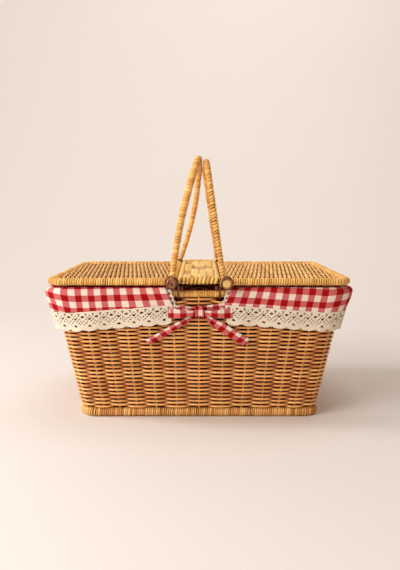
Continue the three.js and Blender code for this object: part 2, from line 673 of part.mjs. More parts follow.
// Skirt folded over the rim, and the scalloped lace below its hem.
function makeSkirt(sideName, side) {
  const rimTop = RIM_HEIGHT + RIM_RADIUS;
  const puff = LID_LIFT - SEAT_GAP; // the lid's border lies on the cloth
  const crest = rimTop + puff - CLOTH / 2;
  const innerHem = POUCH_HEM + SEAT_GAP;
  const inside = -RIM_DIAMETER - LINER_EASE - CLOTH / 2;
  const bulge = SKIRT_BULGE - CLOTH / 2;
  const skirt = sweep(skirtStations(side, SKIRT_STEP), (s) => sheetSection([
    [wallMiddle(s, innerHem) - WALL_THICKNESS / 2 - LINER_EASE - CLOTH, innerHem],
    [inside, RIM_HEIGHT],
    [inside + RIM_RADIUS / 3, rimTop + puff / 3],
    [-RIM_RADIUS, crest - CLOTH],
    [0, crest],
    [bulge, RIM_HEIGHT + RIM_RADIUS / 2],
    [clothOut(s, hemHeight(s)), hemHeight(s)],
  ], CLOTH), false);
  place(`liner_skirt_${sideName}`, skirt, gingham);
  const lace = sweep(skirtStations(side, SCALLOP_PITCH / 2), (s, i) => {
    const top = hemHeight(s) - SEAT_GAP - CLOTH / 4;
    const bottom = top - LACE_HEIGHT + (i % 2 === 0 ? SCALLOP_DEPTH : 0);
    return sheetSection([[clothOut(s, top), top], [clothOut(s, bottom), bottom]], LACE_THICKNESS);
  }, false);
  place(`lace_${sideName}`, lace, laceCotton);
}

// Flat ribbon in the bow's plane: X across, Z up, lying on the wall.
function ribbon(fromX, fromZ, toX, toZ, fromWidth, toWidth) {
  const along = new THREE.Vector2(toX - fromX, toZ - fromZ).normalize();
  const edge = new THREE.Vector2(-along.y, along.x);
  const corner = (x, z, reach) => new THREE.Vector2(x + edge.x * reach, z + edge.y * reach);
  const shape = new THREE.Shape([
    corner(fromX, fromZ, -fromWidth / 2),
    corner(toX, toZ, -toWidth / 2),
    corner(toX, toZ, toWidth / 2),
    corner(fromX, fromZ, fromWidth / 2),
  ]);
  const flat = new THREE.ExtrudeGeometry(shape, { depth: RIBBON_THICKNESS, bevelEnabled: false });
  return flat.rotateX(Math.PI / 2);
}

// Drop-shaped loop of ribbon seen from above, as wide as the ribbon.
function bowLoop(side, fromX, off) {
  const half = BOW_LOOP_DEPTH / 2;
  const drop = (inset) => {
    const path = new THREE.Path();
    const tip = fromX + BOW_LOOP_LENGTH - inset;
    const root = fromX + inset;
    const wide = half - inset;
    path.moveTo(root, -wide / 3);
    path.quadraticCurveTo(tip - wide, -wide, tip - wide / 2, -wide);
    path.bezierCurveTo(tip, -wide, tip, wide, tip - wide / 2, wide);
    path.quadraticCurveTo(tip - wide, wide, root, wide / 3);
    return path.getPoints(5);
  };
  const shape = new THREE.Shape(drop(0));
  shape.holes.push(new THREE.Path(drop(RIBBON_THICKNESS)));
  const loop = new THREE.ExtrudeGeometry(shape, { depth: RIBBON_WIDTH, bevelEnabled: false });
  if (side < 0) loop.rotateZ(Math.PI);
  return loop.translate(0, -off - half, -RIBBON_WIDTH / 2);
}

// Bow over the middle gap, lying along the slope of the wall.
function makeBow(endName, end) {
  const bow = new THREE.Group();
  const height = RIM_HEIGHT - BOW_DROP;
  const outward = { nx: 0, ny: end };
  const face = RIM_DEPTH / 2 + wallMiddle(outward, height) + WALL_THICKNESS / 2 + COLUMN_BULGE + SEAT_GAP;
  bow.name = `bow_${endName}`;
  bow.position.set(0, end * face, height);
  bow.rotation.set(Math.atan(wallFlare(outward)), 0, end > 0 ? Math.PI : 0, "ZYX");
  basket.add(bow);
  const knot = new THREE.SphereGeometry(0.5, 10, 8).scale(KNOT_WIDTH, KNOT_DEPTH, KNOT_HEIGHT);
  place(`bow_knot_${endName}`, knot.translate(0, -KNOT_DEPTH / 2, 0), gingham, bow);
  const root = KNOT_WIDTH / 2 + SEAT_GAP;
  const slope = THREE.MathUtils.degToRad(TAIL_SLOPE);
  for (const [sideName, side] of Object.entries(SIDES)) {
    const loop = bowLoop(side, root, RIBBON_THICKNESS + SEAT_GAP);
    place(`bow_loop_${endName}_${sideName}`, loop, gingham, bow);
    const pinch = RIBBON_WIDTH / 2; // where the ribbons run into the knot
    const tailTop = -KNOT_HEIGHT / 4;
    const tailX = root + TAIL_LENGTH * Math.cos(slope);
    const tailZ = tailTop - TAIL_LENGTH * Math.sin(slope);
    const tail = ribbon(side * root, tailTop, side * tailX, tailZ, pinch, RIBBON_WIDTH);
    place(`bow_tail_${endName}_${sideName}`, tail, gingham, bow);
    const strapX = SKIRT_EDGE_X - CLOTH;
    const strap = ribbon(side * root, KNOT_HEIGHT / 5, side * strapX, KNOT_HEIGHT / 3, pinch, pinch);
    place(`bow_strap_${endName}_${sideName}`, strap, gingham, bow);
  }
}

makeFoot();
makeWall();
makeRim();
makeBridge();
makePouch();
for (const [sideName, side] of Object.entries(SIDES)) {
  makeLid(sideName, side);
  makeHandle(sideName, side);
  makeSkirt(sideName, side);
  for (const [endName, end] of Object.entries(ENDS)) {
    makeHingeLoop(endName, end, sideName, side);
  }
}
for (const [endName, end] of Object.entries(ENDS)) makeBow(endName, end);

export default basket;
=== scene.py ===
import math
import random

import bmesh
import bpy
from mathutils import Matrix, Vector, noise


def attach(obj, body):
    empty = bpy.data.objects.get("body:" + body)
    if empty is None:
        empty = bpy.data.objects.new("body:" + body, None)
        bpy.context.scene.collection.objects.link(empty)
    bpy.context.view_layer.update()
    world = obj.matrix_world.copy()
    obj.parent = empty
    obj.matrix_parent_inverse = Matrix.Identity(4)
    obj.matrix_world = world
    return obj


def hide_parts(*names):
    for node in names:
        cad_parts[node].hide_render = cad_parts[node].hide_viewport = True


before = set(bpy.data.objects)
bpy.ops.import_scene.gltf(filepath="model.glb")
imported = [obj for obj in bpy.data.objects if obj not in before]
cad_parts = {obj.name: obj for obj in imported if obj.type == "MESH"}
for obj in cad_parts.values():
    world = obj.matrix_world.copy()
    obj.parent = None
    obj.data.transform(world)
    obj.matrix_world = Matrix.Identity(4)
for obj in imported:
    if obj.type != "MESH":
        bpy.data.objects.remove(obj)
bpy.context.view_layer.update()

bl_info = {
    "name": "Wicker Picnic Basket",
    "version": (1, 0, 0),
    "blender": (4, 5, 0),
    "location": "3D View > Sidebar > Basket",
    "description": "Weaves, binds and lines a two-lid picnic basket around its solid frame",
    "category": "Object",
}

MM = 0.001
UP = Vector((0, 0, 1))
SIDES = {"left": -1, "right": 1}
ENDS = {"front": -1, "back": 1}

# The basket's sizes as built, in millimetres
FOOT_LENGTH, FOOT_DEPTH, FOOT_CORNER, FOOT_WIDTH, FOOT_HEIGHT = 332, 218, 24, 12, 13
RIM_LENGTH, RIM_DEPTH, RIM_CORNER, RIM_RADIUS, RIM_HEIGHT = 388, 274, 28, 5, 174
WALL_BOTTOM, WALL_TOP, WALL_HALF, COLUMN_BULGE = 13.3, 168.7, 4, 2
BASE_HEIGHT, AXIS_HEIGHT, BRIDGE_HEIGHT, BRIDGE_RISE = 9.5, 190, 192, 2
LID_END, LID_HALF_DEPTH, LID_CORNER, LID_INNER_CORNER, LID_RADIUS = 200, 143, 22, 8, 6
BRIDGE_HALF, BRIDGE_SIDE_RADIUS, BRIDGE_END_RADIUS, BRIDGE_RIB_RADIUS = 27, 4, 5, 1.6
RIB_COUNT, STRIP_COUNT = 3, 4
HINGE_X, LEG_Y = 35, 154
HANDLE_RISE, HANDLE_CORNER, GRIP_X = 161, 40, {"left": -2, "right": 10}
EYE_RADIUS, SMALL_EYE_RADIUS, PEG_RADIUS = 8, 6.4, 5
TIE_Y, TIE_OUT = 159.4, 2.4
LOOP_RADIUS, LOOP_Y, RIM_AXIS_Y, HOOK_RADIUS = 7.9, 146.2, 132, 6.7
SKIRT_EDGE_X, POUCH_FLOOR, POUCH_HEM, LACE_HEIGHT = 45, 14.0, 150.5, 26.5
LACE_THICKNESS, RIBBON_THICKNESS = 0.9, 0.7
KNOT_HEIGHT = 151.5
HEM_DROP_CORNER, HEM_DROP_GAP = 24.5, 14.5  # below the rim, at the corners and at the middle gap
HEM_PULL = 6  # how far a hem is drawn towards the middle gap

# How the weave is set out
COLUMNS_LONG, COLUMNS_SHORT = 11, 7
COLUMNS = 2 * (COLUMNS_LONG + COLUMNS_SHORT + 2)
STAKE_EASE = 0.17  # stakes stand closer together towards the corners
STEPS = 6  # points of a strand from one stake to the next
TURN = 10  # points in one turn of a binding
CORNER_STEPS = 12  # legs in a quarter turn
SKIRT_ACROSS, SKIRT_DOWN = 240, 40  # squares of a skirt's grid

# The stage, in metres, degrees and watts
FLOOR_HALF, BACKDROP_Y, BACKDROP_HEIGHT, BACKDROP_BEND = 3.5, 1.8, 3, 1.0
LENS, CAMERA_PLACE, CAMERA_PITCH, CAMERA_YAW = 41.6, (0.0009, -0.988, 0.285), -6.62, -0.03
AMBIENT, AMBIENT_STRENGTH = (1.0, 0.71, 0.45, 1), 0.3
PALE_BACKGROUND = (0.863, 0.774, 0.68, 1)
LAMP_COLOUR = (1.0, 0.97, 0.93)
LAMPS = (  # name, place, aim, width, power and spread
    ("key", (-2.1, -0.1, 1.75), (0.1, 0, 0.0), 0.5, 28, 180),
    ("fill", (-1.05, -1.0, 0.8), (-0.25, -0.1, 0.1), 1.0, 17.5, 180),
    ("top", (0.45, 0.1, 2.2), (0.5, -0.1, 0), 1.6, 11, 180),
    ("front", (0.9, -2.7, 2.6), (0.9, -3.0, 0), 2.4, 20, 90),
    ("backdrop", (0.5, 0.6, 1.6), (0.7, 2.6, 0.6), 1.4, 8.6, 180),
)


def linear(hex_colour):
    """A six-digit sRGB hex colour as linear red, green and blue."""
    channels = (int(hex_colour[i:i + 2], 16) / 255 for i in (1, 3, 5))
    return tuple(c / 12.92 if c <= 0.04045 else ((c + 0.055) / 1.055) ** 2.4 for c in channels)


def size(name, description, millimetres):
    return bpy.props.FloatProperty(
        name=name, description=description, default=millimetres * MM, min=0.0, unit="LENGTH", precision=4)


def colour(name, description, hex_colour):
    return bpy.props.FloatVectorProperty(
        name=name, description=description, default=linear(hex_colour), subtype="COLOR", size=3, min=0.0,
        max=1.0)


class BasketSizes(bpy.types.PropertyGroup):
    weft: size("Weft", "Diameter of the wall's woven strands", 3.1)
    weft_rise: size("Weft Rise", "Height from one row of the wall to the next", 2.8)
    stake: size("Stake", "Diameter of the upright stakes", 3.3)
    lid_strand: size("Lid Strand", "Spacing of the lids' strands", 3.05)
    border_wrap: size("Border Wrap", "Spacing of the turns on the lids' borders", 3.08)
    rim_wrap: size("Rim Wrap", "Spacing of the turns on the rim", 3.15)
    foot_wrap: size("Foot Wrap", "Spacing of the turns on the foot", 2.95)
    handle_wrap: size("Handle Wrap", "Spacing of the turns on the handles", 4.1)
    check: size("Check", "Side of one square of the gingham", 8.3)
    scallop: size("Scallop", "Width of one scallop of the lace", 18.75)
    cloth: size("Cloth", "Thickness of the gingham", 1.0)
    wire: size("Wire", "Diameter of the hinge wire", 2.2)
    tie_wire: size("Tie Wire", "Diameter of the handle ties", 1.8)


class BasketColours(bpy.types.PropertyGroup):
    wall_pale: colour("Wall Pale", "Palest strands of the wall", "#fbb96a")
    wall_deep: colour("Wall Deep", "Darkest strands of the wall", "#b85c0a")
    lid_pale: colour("Lid Pale", "Palest cane of lids, rims and handles", "#ffce7e")
    lid_deep: colour("Lid Deep", "Darkest cane of lids, rims and handles", "#c98735")
    strip_pale: colour("Strip Pale", "Palest flat strip of the bridge", "#f7d078")
    strip_deep: colour("Strip Deep", "Darkest flat strip of the bridge", "#d1922f")
    # Painted shade: a near-black brown laid on the weave's hollows, crevices and deepest strands, where shade
    # falls
    recess_shade: colour("Recess", "Stain left in the hollows of the weave", "#340a00")
    # A darker rattan tone, given to the front left hinge peg only
    weathered: colour("Weathered Rattan", "The darker hinge peg", "#a8664c")
    wire: colour("Wire", "Coated wire", "#56220c")
    gingham_red: colour("Gingham Red", "Squares where red crosses red", "#a60a0f")
    gingham_pink: colour("Gingham Pink", "Squares where red crosses white", "#d46a6c")
    gingham_white: colour("Gingham White", "Squares where white crosses white", "#f3e4d7")
    lace: colour("Lace", "Cotton lace", "#f9ebd6")
    floor: colour("Floor", "Floor and backdrop", "#e5e2e1")


def mix(a, b, t):
    return a + (b - a) * t


def flattened(wave):
    """A sine wave with broad crests and steep crossings, as a stiff strand takes round stakes."""
    peak, softness = 1.118, 0.25
    return peak * wave / math.sqrt(wave * wave + softness)


def wavering(*place):
    return noise.noise(Vector(place))


def link(tree, node, links):
    """Gives each input a value, an output to read, or a node whose first output is read."""
    for key, value in links.items():
        if isinstance(value, bpy.types.Node):
            value = value.outputs[0]
        if isinstance(value, bpy.types.NodeSocket):
            tree.links.new(value, node.inputs[key])
        else:
            node.inputs[key].default_value = value


def add(tree, kind, links=None, **settings):
    """Adds a node with its settings and links."""
    made = tree.nodes.new(kind)
    for key, value in settings.items():
        setattr(made, key, value)
    link(tree, made, links or {})
    return made


def start_material(name):
    material = bpy.data.materials.new(name)
    material.use_nodes = True
    tree = material.node_tree
    return material, tree, tree.nodes["Principled BSDF"]


def cane(name, pale, deep, recess_shade, hollow, coat, crest=0.0):
    """Round cane under satin varnish: long fibre streaks, each strand its own tone.

    Painted shade darkens crevices, found by ambient occlusion, and strands that lie as deep as the range
    of hollow, toward the recess shade colour. Crest paints a highlight on strands that stand out, and
    painted shade where they dive between stakes.
    """
    material, tree, shader = start_material(name)
    tint, along, depth = (
        add(tree, "ShaderNodeAttribute", attribute_name=label).outputs["Fac"]
        for label in ("tint", "along", "depth")
    )
    uv = add(tree, "ShaderNodeSeparateXYZ", {"Vector": add(tree, "ShaderNodeUVMap", uv_map="UVMap")})
    angle = add(tree, "ShaderNodeMath", {0: uv.outputs["Y"], 1: math.tau}, operation="MULTIPLY")
    place = add(tree, "ShaderNodeCombineXYZ", {
        "X": add(tree, "ShaderNodeMath", {0: along, 1: 1 / (30 * MM)}, operation="MULTIPLY"),
        "Y": add(tree, "ShaderNodeMath", {0: angle}, operation="COSINE"),
        "Z": add(tree, "ShaderNodeMath", {0: angle}, operation="SINE"),
    })
    seed = add(tree, "ShaderNodeMath", {0: tint, 1: 40.0}, operation="MULTIPLY")
    fibre = add(tree, "ShaderNodeTexNoise", {
        "Vector": place, "W": seed, "Scale": 2.1, "Detail": 4.0, "Roughness": 0.6,
    }, noise_dimensions="4D")
    patch = add(tree, "ShaderNodeTexNoise", {
        "Vector": place, "W": seed, "Scale": 0.8, "Detail": 1.0,
    }, noise_dimensions="4D")
    tone = add(tree, "ShaderNodeMath", {0: fibre, 1: 0.9, 2: -0.42}, operation="MULTIPLY_ADD")
    tone = add(tree, "ShaderNodeMath", {0: tint, 1: 0.75, 2: tone}, operation="MULTIPLY_ADD")
    tone = add(tree, "ShaderNodeMath", {0: patch, 1: 0.4, 2: tone}, operation="MULTIPLY_ADD", use_clamp=True)
    # Painted highlight and shade: by their depth, strands are paled where they stand out and deepened where
    # they dive
    wear_and_painted_light = add(tree, "ShaderNodeMapRange", {
        "Value": depth, "From Min": 0.4, "From Max": 1.0, "To Min": -crest, "To Max": 0.5 * crest,
    })
    tone = add(tree, "ShaderNodeMath", {0: wear_and_painted_light, 1: tone}, operation="ADD", use_clamp=True)
    face = add(tree, "ShaderNodeMix", {0: tone, 6: (*deep, 1), 7: (*pale, 1)}, data_type="RGBA")
    # Painted shade: deep strands and crevices found by ambient occlusion are blended toward the recess shade
    # colour; the same mask thins the varnish coat there, so the hollows show no reflection
    shade = add(tree, "ShaderNodeMapRange", {
        "Value": depth, "From Min": hollow[0], "From Max": hollow[1],
    }, interpolation_type="SMOOTHSTEP")
    crevice = add(tree, "ShaderNodeAmbientOcclusion", {"Distance": 2.2 * MM}, samples=8, only_local=True)
    clear = add(tree, "ShaderNodeMapRange", {
        "Value": crevice.outputs["AO"], "From Min": 0.15, "From Max": 0.65,
    }, interpolation_type="SMOOTHSTEP")
    shown = add(tree, "ShaderNodeMath", {0: shade, 1: clear}, operation="MULTIPLY")
    with_painted_shade = add(tree, "ShaderNodeMix", {
        0: shown, 6: (*recess_shade, 1), 7: face.outputs[2],
    }, data_type="RGBA")
    link(tree, shader, {
        "Base Color": with_painted_shade.outputs[2],
        "Normal": add(tree, "ShaderNodeBump", {"Height": fibre, "Strength": 0.35, "Distance": 0.3 * MM}),
        "Roughness": 0.45,
        "Specular IOR Level": 0.15,
        "Coat Weight": add(tree, "ShaderNodeMath", {0: shown, 1: coat}, operation="MULTIPLY"),
        "Coat Roughness": 0.34 - 0.12 * coat,
    })
    return material


def bare_rattan(name, tone):
    """Peeled rattan rod: matt, with short dark pores along its length and a cloudy tone."""
    material, tree, shader = start_material(name)
    place = add(tree, "ShaderNodeTexCoord").outputs["Object"]
    cloud = add(tree, "ShaderNodeTexNoise", {"Vector": place, "Scale": 1 / (12 * MM), "Detail": 3.0})
    pores = add(tree, "ShaderNodeTexNoise", {"Vector": place, "Scale": 1 / (1.2 * MM), "Detail": 2.0})
    blotch = add(tree, "ShaderNodeMath", {0: cloud, 1: pores}, operation="MULTIPLY")
    share = add(tree, "ShaderNodeMapRange", {"Value": blotch, "From Min": 0.12, "From Max": 0.4})
    dark = tuple(0.55 * c for c in tone)
    shown = add(tree, "ShaderNodeMix", {0: share, 6: (*dark, 1), 7: (*tone, 1)}, data_type="RGBA")
    link(tree, shader, {
        "Base Color": shown.outputs[2],
        "Normal": add(tree, "ShaderNodeBump", {"Height": pores, "Strength": 0.4, "Distance": 0.2 * MM}),
        "Roughness": 0.55,
    })
    return material


def coated_wire(name, tone):
    """Iron wire in brown plastic: glossy, with drawn ridges and a slightly worn tone."""
    material, tree, shader = start_material(name)
    place = add(tree, "ShaderNodeTexCoord").outputs["Object"]
    wear = add(tree, "ShaderNodeTexNoise", {"Vector": place, "Scale": 1 / (3 * MM), "Detail": 4.0})
    share = add(tree, "ShaderNodeMapRange", {"Value": wear, "From Min": 0.35, "From Max": 0.7})
    wear_and_painted_light = tuple(min(1.0, 1.9 * c + 0.02) for c in tone)
    shown = add(tree, "ShaderNodeMix", {0: share, 6: (*tone, 1), 7: (*wear_and_painted_light, 1)}, data_type="RGBA")
    link(tree, shader, {
        "Base Color": shown.outputs[2],
        "Normal": add(tree, "ShaderNodeBump", {"Height": wear, "Strength": 0.2, "Distance": 0.2 * MM}),
        "Roughness": 0.32,
        "Specular IOR Level": 0.3,
    })
    return material


def gingham_cotton(name, red, pink, white, check):
    """Plain-woven cotton gingham: even stripes crossing, soft square edges, visible threads, no shine."""
    material, tree, shader = start_material(name)
    uv = add(tree, "ShaderNodeUVMap", uv_map="UVMap")
    wander = add(tree, "ShaderNodeTexNoise", {"Vector": uv, "Scale": 1 / (14 * MM), "Detail": 1.0})
    shifted = add(tree, "ShaderNodeVectorMath", {
        0: wander.outputs["Color"], 1: (0.9 * MM,) * 3, 2: uv,
    }, operation="MULTIPLY_ADD")
    split = add(tree, "ShaderNodeSeparateXYZ", {"Vector": shifted})
    stripes, threads = [], []
    for axis in ("X", "Y"):
        wave = add(tree, "ShaderNodeMath", {0: split.outputs[axis], 1: math.pi / check}, operation="MULTIPLY")
        crest = add(tree, "ShaderNodeMath", {0: wave}, operation="SINE")
        stripes.append(add(tree, "ShaderNodeMapRange", {
            "Value": crest, "From Min": -0.09, "From Max": 0.09, "To Max": 0.5,
        }, interpolation_type="SMOOTHSTEP"))
        # Threads of 0.5 mm don't show from a step away, so they are drawn 1 mm wide
        fine = add(tree, "ShaderNodeMath", {0: split.outputs[axis], 1: math.tau / MM}, operation="MULTIPLY")
        threads.append(add(tree, "ShaderNodeMath", {0: fine}, operation="SINE"))
    red_share = add(tree, "ShaderNodeMath", dict(enumerate(stripes)), operation="ADD")
    pattern = add(tree, "ShaderNodeValToRGB", {"Fac": red_share})
    stops = pattern.color_ramp.elements
    stops[0].color = (*white, 1)
    stops[1].color = (*red, 1)
    stops.new(0.5).color = (*pink, 1)
    weave = add(tree, "ShaderNodeMath", dict(enumerate(threads)), operation="MULTIPLY")
    slub = add(tree, "ShaderNodeTexNoise", {"Vector": uv, "Scale": 1 / (2.5 * MM), "Detail": 3.0})
    value = add(tree, "ShaderNodeMath", {0: weave, 1: 0.07, 2: 0.8}, operation="MULTIPLY_ADD")
    value = add(tree, "ShaderNodeMath", {0: slub, 1: 0.36, 2: value}, operation="MULTIPLY_ADD")
    link(tree, shader, {
        "Base Color": add(tree, "ShaderNodeVectorMath", {0: pattern, "Scale": value}, operation="SCALE"),
        "Normal": add(tree, "ShaderNodeBump", {"Height": weave, "Strength": 0.3, "Distance": 0.2 * MM}),
        "Roughness": 0.9,
        "Specular IOR Level": 0.15,
    })
    return material


def cotton_lace(name, tone):
    """Unbleached cotton lace: thick matt thread, stitched in short loops that catch the light."""
    material, tree, shader = start_material(name)
    uv = add(tree, "ShaderNodeUVMap", uv_map="UVMap")
    split = add(tree, "ShaderNodeSeparateXYZ", {"Vector": uv})
    loops = []
    for sign in (1.0, -1.0):
        diagonal = add(tree, "ShaderNodeMath", {
            0: split.outputs["X"], 1: sign, 2: split.outputs["Y"],
        }, operation="MULTIPLY_ADD")
        # Stitches of 0.4 mm don't show from a step away, so they are drawn 1.2 mm long
        turns = add(tree, "ShaderNodeMath", {0: diagonal, 1: math.tau / (1.2 * MM)}, operation="MULTIPLY")
        loops.append(add(tree, "ShaderNodeMath", {0: turns}, operation="SINE"))
    stitch = add(tree, "ShaderNodeMath", dict(enumerate(loops)), operation="MAXIMUM")
    fuzz = add(tree, "ShaderNodeTexNoise", {"Vector": uv, "Scale": 1 / (1.5 * MM), "Detail": 3.0})
    value = add(tree, "ShaderNodeMath", {0: stitch, 1: 0.09, 2: 0.72}, operation="MULTIPLY_ADD")
    value = add(tree, "ShaderNodeMath", {0: fuzz, 1: 0.4, 2: value}, operation="MULTIPLY_ADD")
    link(tree, shader, {
        "Base Color": add(tree, "ShaderNodeVectorMath", {0: (*tone,), "Scale": value}, operation="SCALE"),
        "Normal": add(tree, "ShaderNodeBump", {"Height": stitch, "Strength": 0.5, "Distance": 0.3 * MM}),
        "Roughness": 0.92,
    })
    return material


def painted_board(name, tone):
    """Board under matt paint: even, and very slightly cloudy."""
    material, tree, shader = start_material(name)
    place = add(tree, "ShaderNodeTexCoord").outputs["Object"]
    cloud = add(tree, "ShaderNodeTexNoise", {"Vector": place, "Scale": 1.2, "Detail": 2.0})
    value = add(tree, "ShaderNodeMath", {0: cloud, 1: 0.03, 2: 0.985}, operation="MULTIPLY_ADD")
    link(tree, shader, {
        "Base Color": add(tree, "ShaderNodeVectorMath", {0: (*tone,), "Scale": value}, operation="SCALE"),
        "Roughness": 0.9,
    })
    return material


def finish(name):
    """The material of that name, made the first time it is asked for."""
    if name in bpy.data.materials:
        return bpy.data.materials[name]
    c, sizes = bpy.context.scene.basket_colours, bpy.context.scene.basket_sizes
    maker, *values = {
        "varnished_wall_cane": (cane, c.wall_pale, c.wall_deep, c.recess_shade, (0.06, 0.44), 1.0, 0.5),
        "varnished_lid_cane": (cane, c.lid_pale, c.lid_deep, c.recess_shade, (-0.16, 0.5), 0.1),
        "varnished_foot_cane": (cane, c.lid_pale, c.wall_deep, c.recess_shade, (-0.25, 0.4), 0.3),
        "varnished_flat_cane": (cane, c.strip_pale, c.strip_deep, c.recess_shade, (-0.45, 0.4), 0.1),
        "scraped_rattan": (bare_rattan, c.lid_pale),
        "stained_rattan": (bare_rattan, tuple(1.5 * shade for shade in c.wire)),
        "weathered_rattan": (bare_rattan, c.weathered),
        "plastic_coated_wire": (coated_wire, c.wire),
        "gingham_cotton": (gingham_cotton, c.gingham_red, c.gingham_pink, c.gingham_white, sizes.check),
        "cotton_lace": (cotton_lace, c.lace),
        "painted_board": (painted_board, c.floor),
    }[name]
    return maker(name, *values)


def piece(name, mesh, material, body, slot, *replaced):
    """Puts a mesh in millimetres into the scene as a piece of the basket."""
    mesh.transform(Matrix.Scale(MM, 4))
    made = bpy.data.objects.new(name, mesh)
    bpy.context.scene.collection.objects.link(made)
    made.data.materials.clear()
    made.data.materials.append(finish(material))
    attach(made, body)
    if replaced:
        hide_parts(*replaced)
    return made


def dress(material, *nodes):
    """Gives solid pieces that stay as they are their finish."""
    for name in nodes:
        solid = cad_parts[name]
        solid.data.materials.clear()
        solid.data.materials.append(finish(material))


def smooth_mesh(bm, name):
    """The finished bmesh as a smooth mesh."""
    mesh = bpy.data.meshes.new(name)
    bm.to_mesh(mesh)
    bm.free()
    mesh.shade_smooth()
    return mesh


def runs(points):
    """How far along their line each of the points is."""
    run = [0.0]
    for a, b in zip(points, points[1:]):
        run.append(run[-1] + (b - a).length)
    return run


class Strand:
    """One round strand: its points, radius, and the tone and depth of each point."""

    def __init__(self, points, radius, closed=False, tint=0.5, depth=1.0):
        self.points, self.closed = points, closed
        self.radii, self.tints, self.depths = (
            list(value) if hasattr(value, "__len__") else [value] * len(points)
            for value in (radius, tint, depth))
        self.run = [run * MM for run in runs(points)]


def tubes(name, strands, sides):
    """One mesh of round strands, with closed ends and the tone, depth and run of each."""
    data = bpy.data.curves.new(name, "CURVE")
    data.dimensions = "3D"
    data.bevel_depth = 1.0
    data.bevel_resolution = sides // 2 - 2
    for strand in strands:
        spline = data.splines.new("POLY")
        spline.points.add(len(strand.points) - 1)
        spline.points.foreach_set("co", [x for p in strand.points for x in (*p, 1.0)])
        spline.points.foreach_set("radius", strand.radii)
        spline.use_cyclic_u = strand.closed
    holder = bpy.data.objects.new(name, data)
    bpy.context.scene.collection.objects.link(holder)
    graph = bpy.context.evaluated_depsgraph_get()
    mesh = bpy.data.meshes.new_from_object(holder.evaluated_get(graph), depsgraph=graph)
    bpy.data.objects.remove(holder)
    bpy.data.curves.remove(data)
    for label, values in (
        ("tint", [t for s in strands for t in s.tints]),
        ("depth", [d for s in strands for d in s.depths]),
        ("along", [r for s in strands for r in s.run]),
    ):
        layer = mesh.attributes.new(label, "FLOAT", "POINT")
        layer.data.foreach_set("value", [v for v in values for _ in range(sides)])
    bm = bmesh.new()
    bm.from_mesh(mesh)
    bmesh.ops.holes_fill(bm, edges=[e for e in bm.edges if e.is_boundary])
    bmesh.ops.recalc_face_normals(bm, faces=bm.faces)
    bm.to_mesh(mesh)
    bm.free()
    return mesh


def strand_piece(name, strands, material, slot, *replaced, body="basket", sides=6):
    """Puts round strands into the scene as one piece."""
    piece(name, tubes(name, strands, sides), material, body, slot, *replaced)


def straight(start, end, legs):
    """Evenly spaced points from start to end."""
    return [Vector(start).lerp(Vector(end), i / legs) for i in range(legs + 1)]


def smooth_way(points, per_leg):
    """A smooth way through points."""
    way = []
    for i in range(len(points) - 1):
        a, b = points[max(i - 1, 0)], points[i]
        c, d = points[i + 1], points[min(i + 2, len(points) - 1)]
        for k in range(per_leg):
            t = k / per_leg
            way.append(0.5 * (2 * b + (c - a) * t + (2 * a - 5 * b + 4 * c - d) * t ** 2
                              + (3 * b - a - 3 * c + d) * t ** 3))
    return way + [points[-1]]


def spaced(stations, count, closed=True):
    """The same way in evenly spaced stations, and its length."""
    way = list(stations) + ([stations[0]] if closed else [])
    lengths = runs([station[0] for station in way])
    total = lengths[-1]
    even, leg = [], 0
    for i in range(count if closed else count + 1):
        goal = total * i / count
        while leg < len(way) - 2 and lengths[leg + 1] < goal:
            leg += 1
        t = (goal - lengths[leg]) / max(lengths[leg + 1] - lengths[leg], 1e-9)
        even.append(tuple(a.lerp(b, t) for a, b in zip(way[leg], way[leg + 1])))
    return even, total


def quarter_turn(start):
    """Level directions over a quarter turn from an angle in degrees."""
    angles = (math.radians(start + 90 * i / CORNER_STEPS) for i in range(CORNER_STEPS + 1))
    return [Vector((math.cos(angle), math.sin(angle), 0)) for angle in angles]


def border_way(x0, x1, half_y, radii, inset, z):
    """Stations (point, outward, upward) of a border's rod, one rounded corner for each radius.

    The corners go anticlockwise from the front right.
    """
    way = []
    corners = ((x1, -1, 1), (x1, 1, 1), (x0, 1, -1), (x0, -1, -1))
    for quarter, ((x, y_sign, x_sign), radius) in enumerate(zip(corners, radii)):
        centre = Vector((x - x_sign * radius, y_sign * (half_y - radius), z))
        way += [(centre + out * (radius - inset), out, UP) for out in quarter_turn(90 * quarter - 90)]
    return way


def binding(way, closed, pitch, half_width, half_height, strand, core, seed, uneven=0.08, slim=None):
    """A rod and the cane wound round it.

    Half sizes are to the outside of the winding, strand and core are radii, and slim(share) draws the
    winding in.
    """
    chance = random.Random(seed)
    length = spaced(way, 8, closed)[1]
    turns = round(length / pitch)
    stations, _ = spaced(way, turns * TURN, closed)
    points, tints, radii = [], [], []
    for i, (point, out, up) in enumerate(stations):
        if i % TURN == 0:
            tone, girth = chance.random(), chance.uniform(1 - uneven, 1.0) + uneven * (i // TURN % 2)
            if chance.random() < uneven:
                girth -= min(3 * uneven, 0.4)  # a loose turn that shows the rod
        scale = slim(i / len(stations)) if slim else 1.0
        angle = math.tau * i / TURN - math.pi / 2 + 0.35 * wavering(i / TURN * 0.37, seed, 0)
        radius = strand * girth
        points.append(
            point + out * ((half_width * scale - radius) * math.cos(angle))
            + up * ((half_height * scale - radius) * math.sin(angle)))
        tints.append(tone)
        radii.append(radius)
    rod, _ = spaced(way, max(int(length / 6), 12), closed)
    # The rod's depth of -0.4 paints it wholly in the recess shade: painted shade for the slits between turns
    return [
        Strand([point for point, _, _ in rod], core, closed, tint=0.2, depth=-0.4),
        Strand(points, radii, closed, tints),
    ]


def corner_trim(half_x, corner):
    """How much a panel's rounded corners shorten the strand at x."""
    def trim(x):
        inside = max(0.0, abs(x) - half_x + corner)
        return corner - math.sqrt(max(corner * corner - inside * inside, 0.0))
    return trim


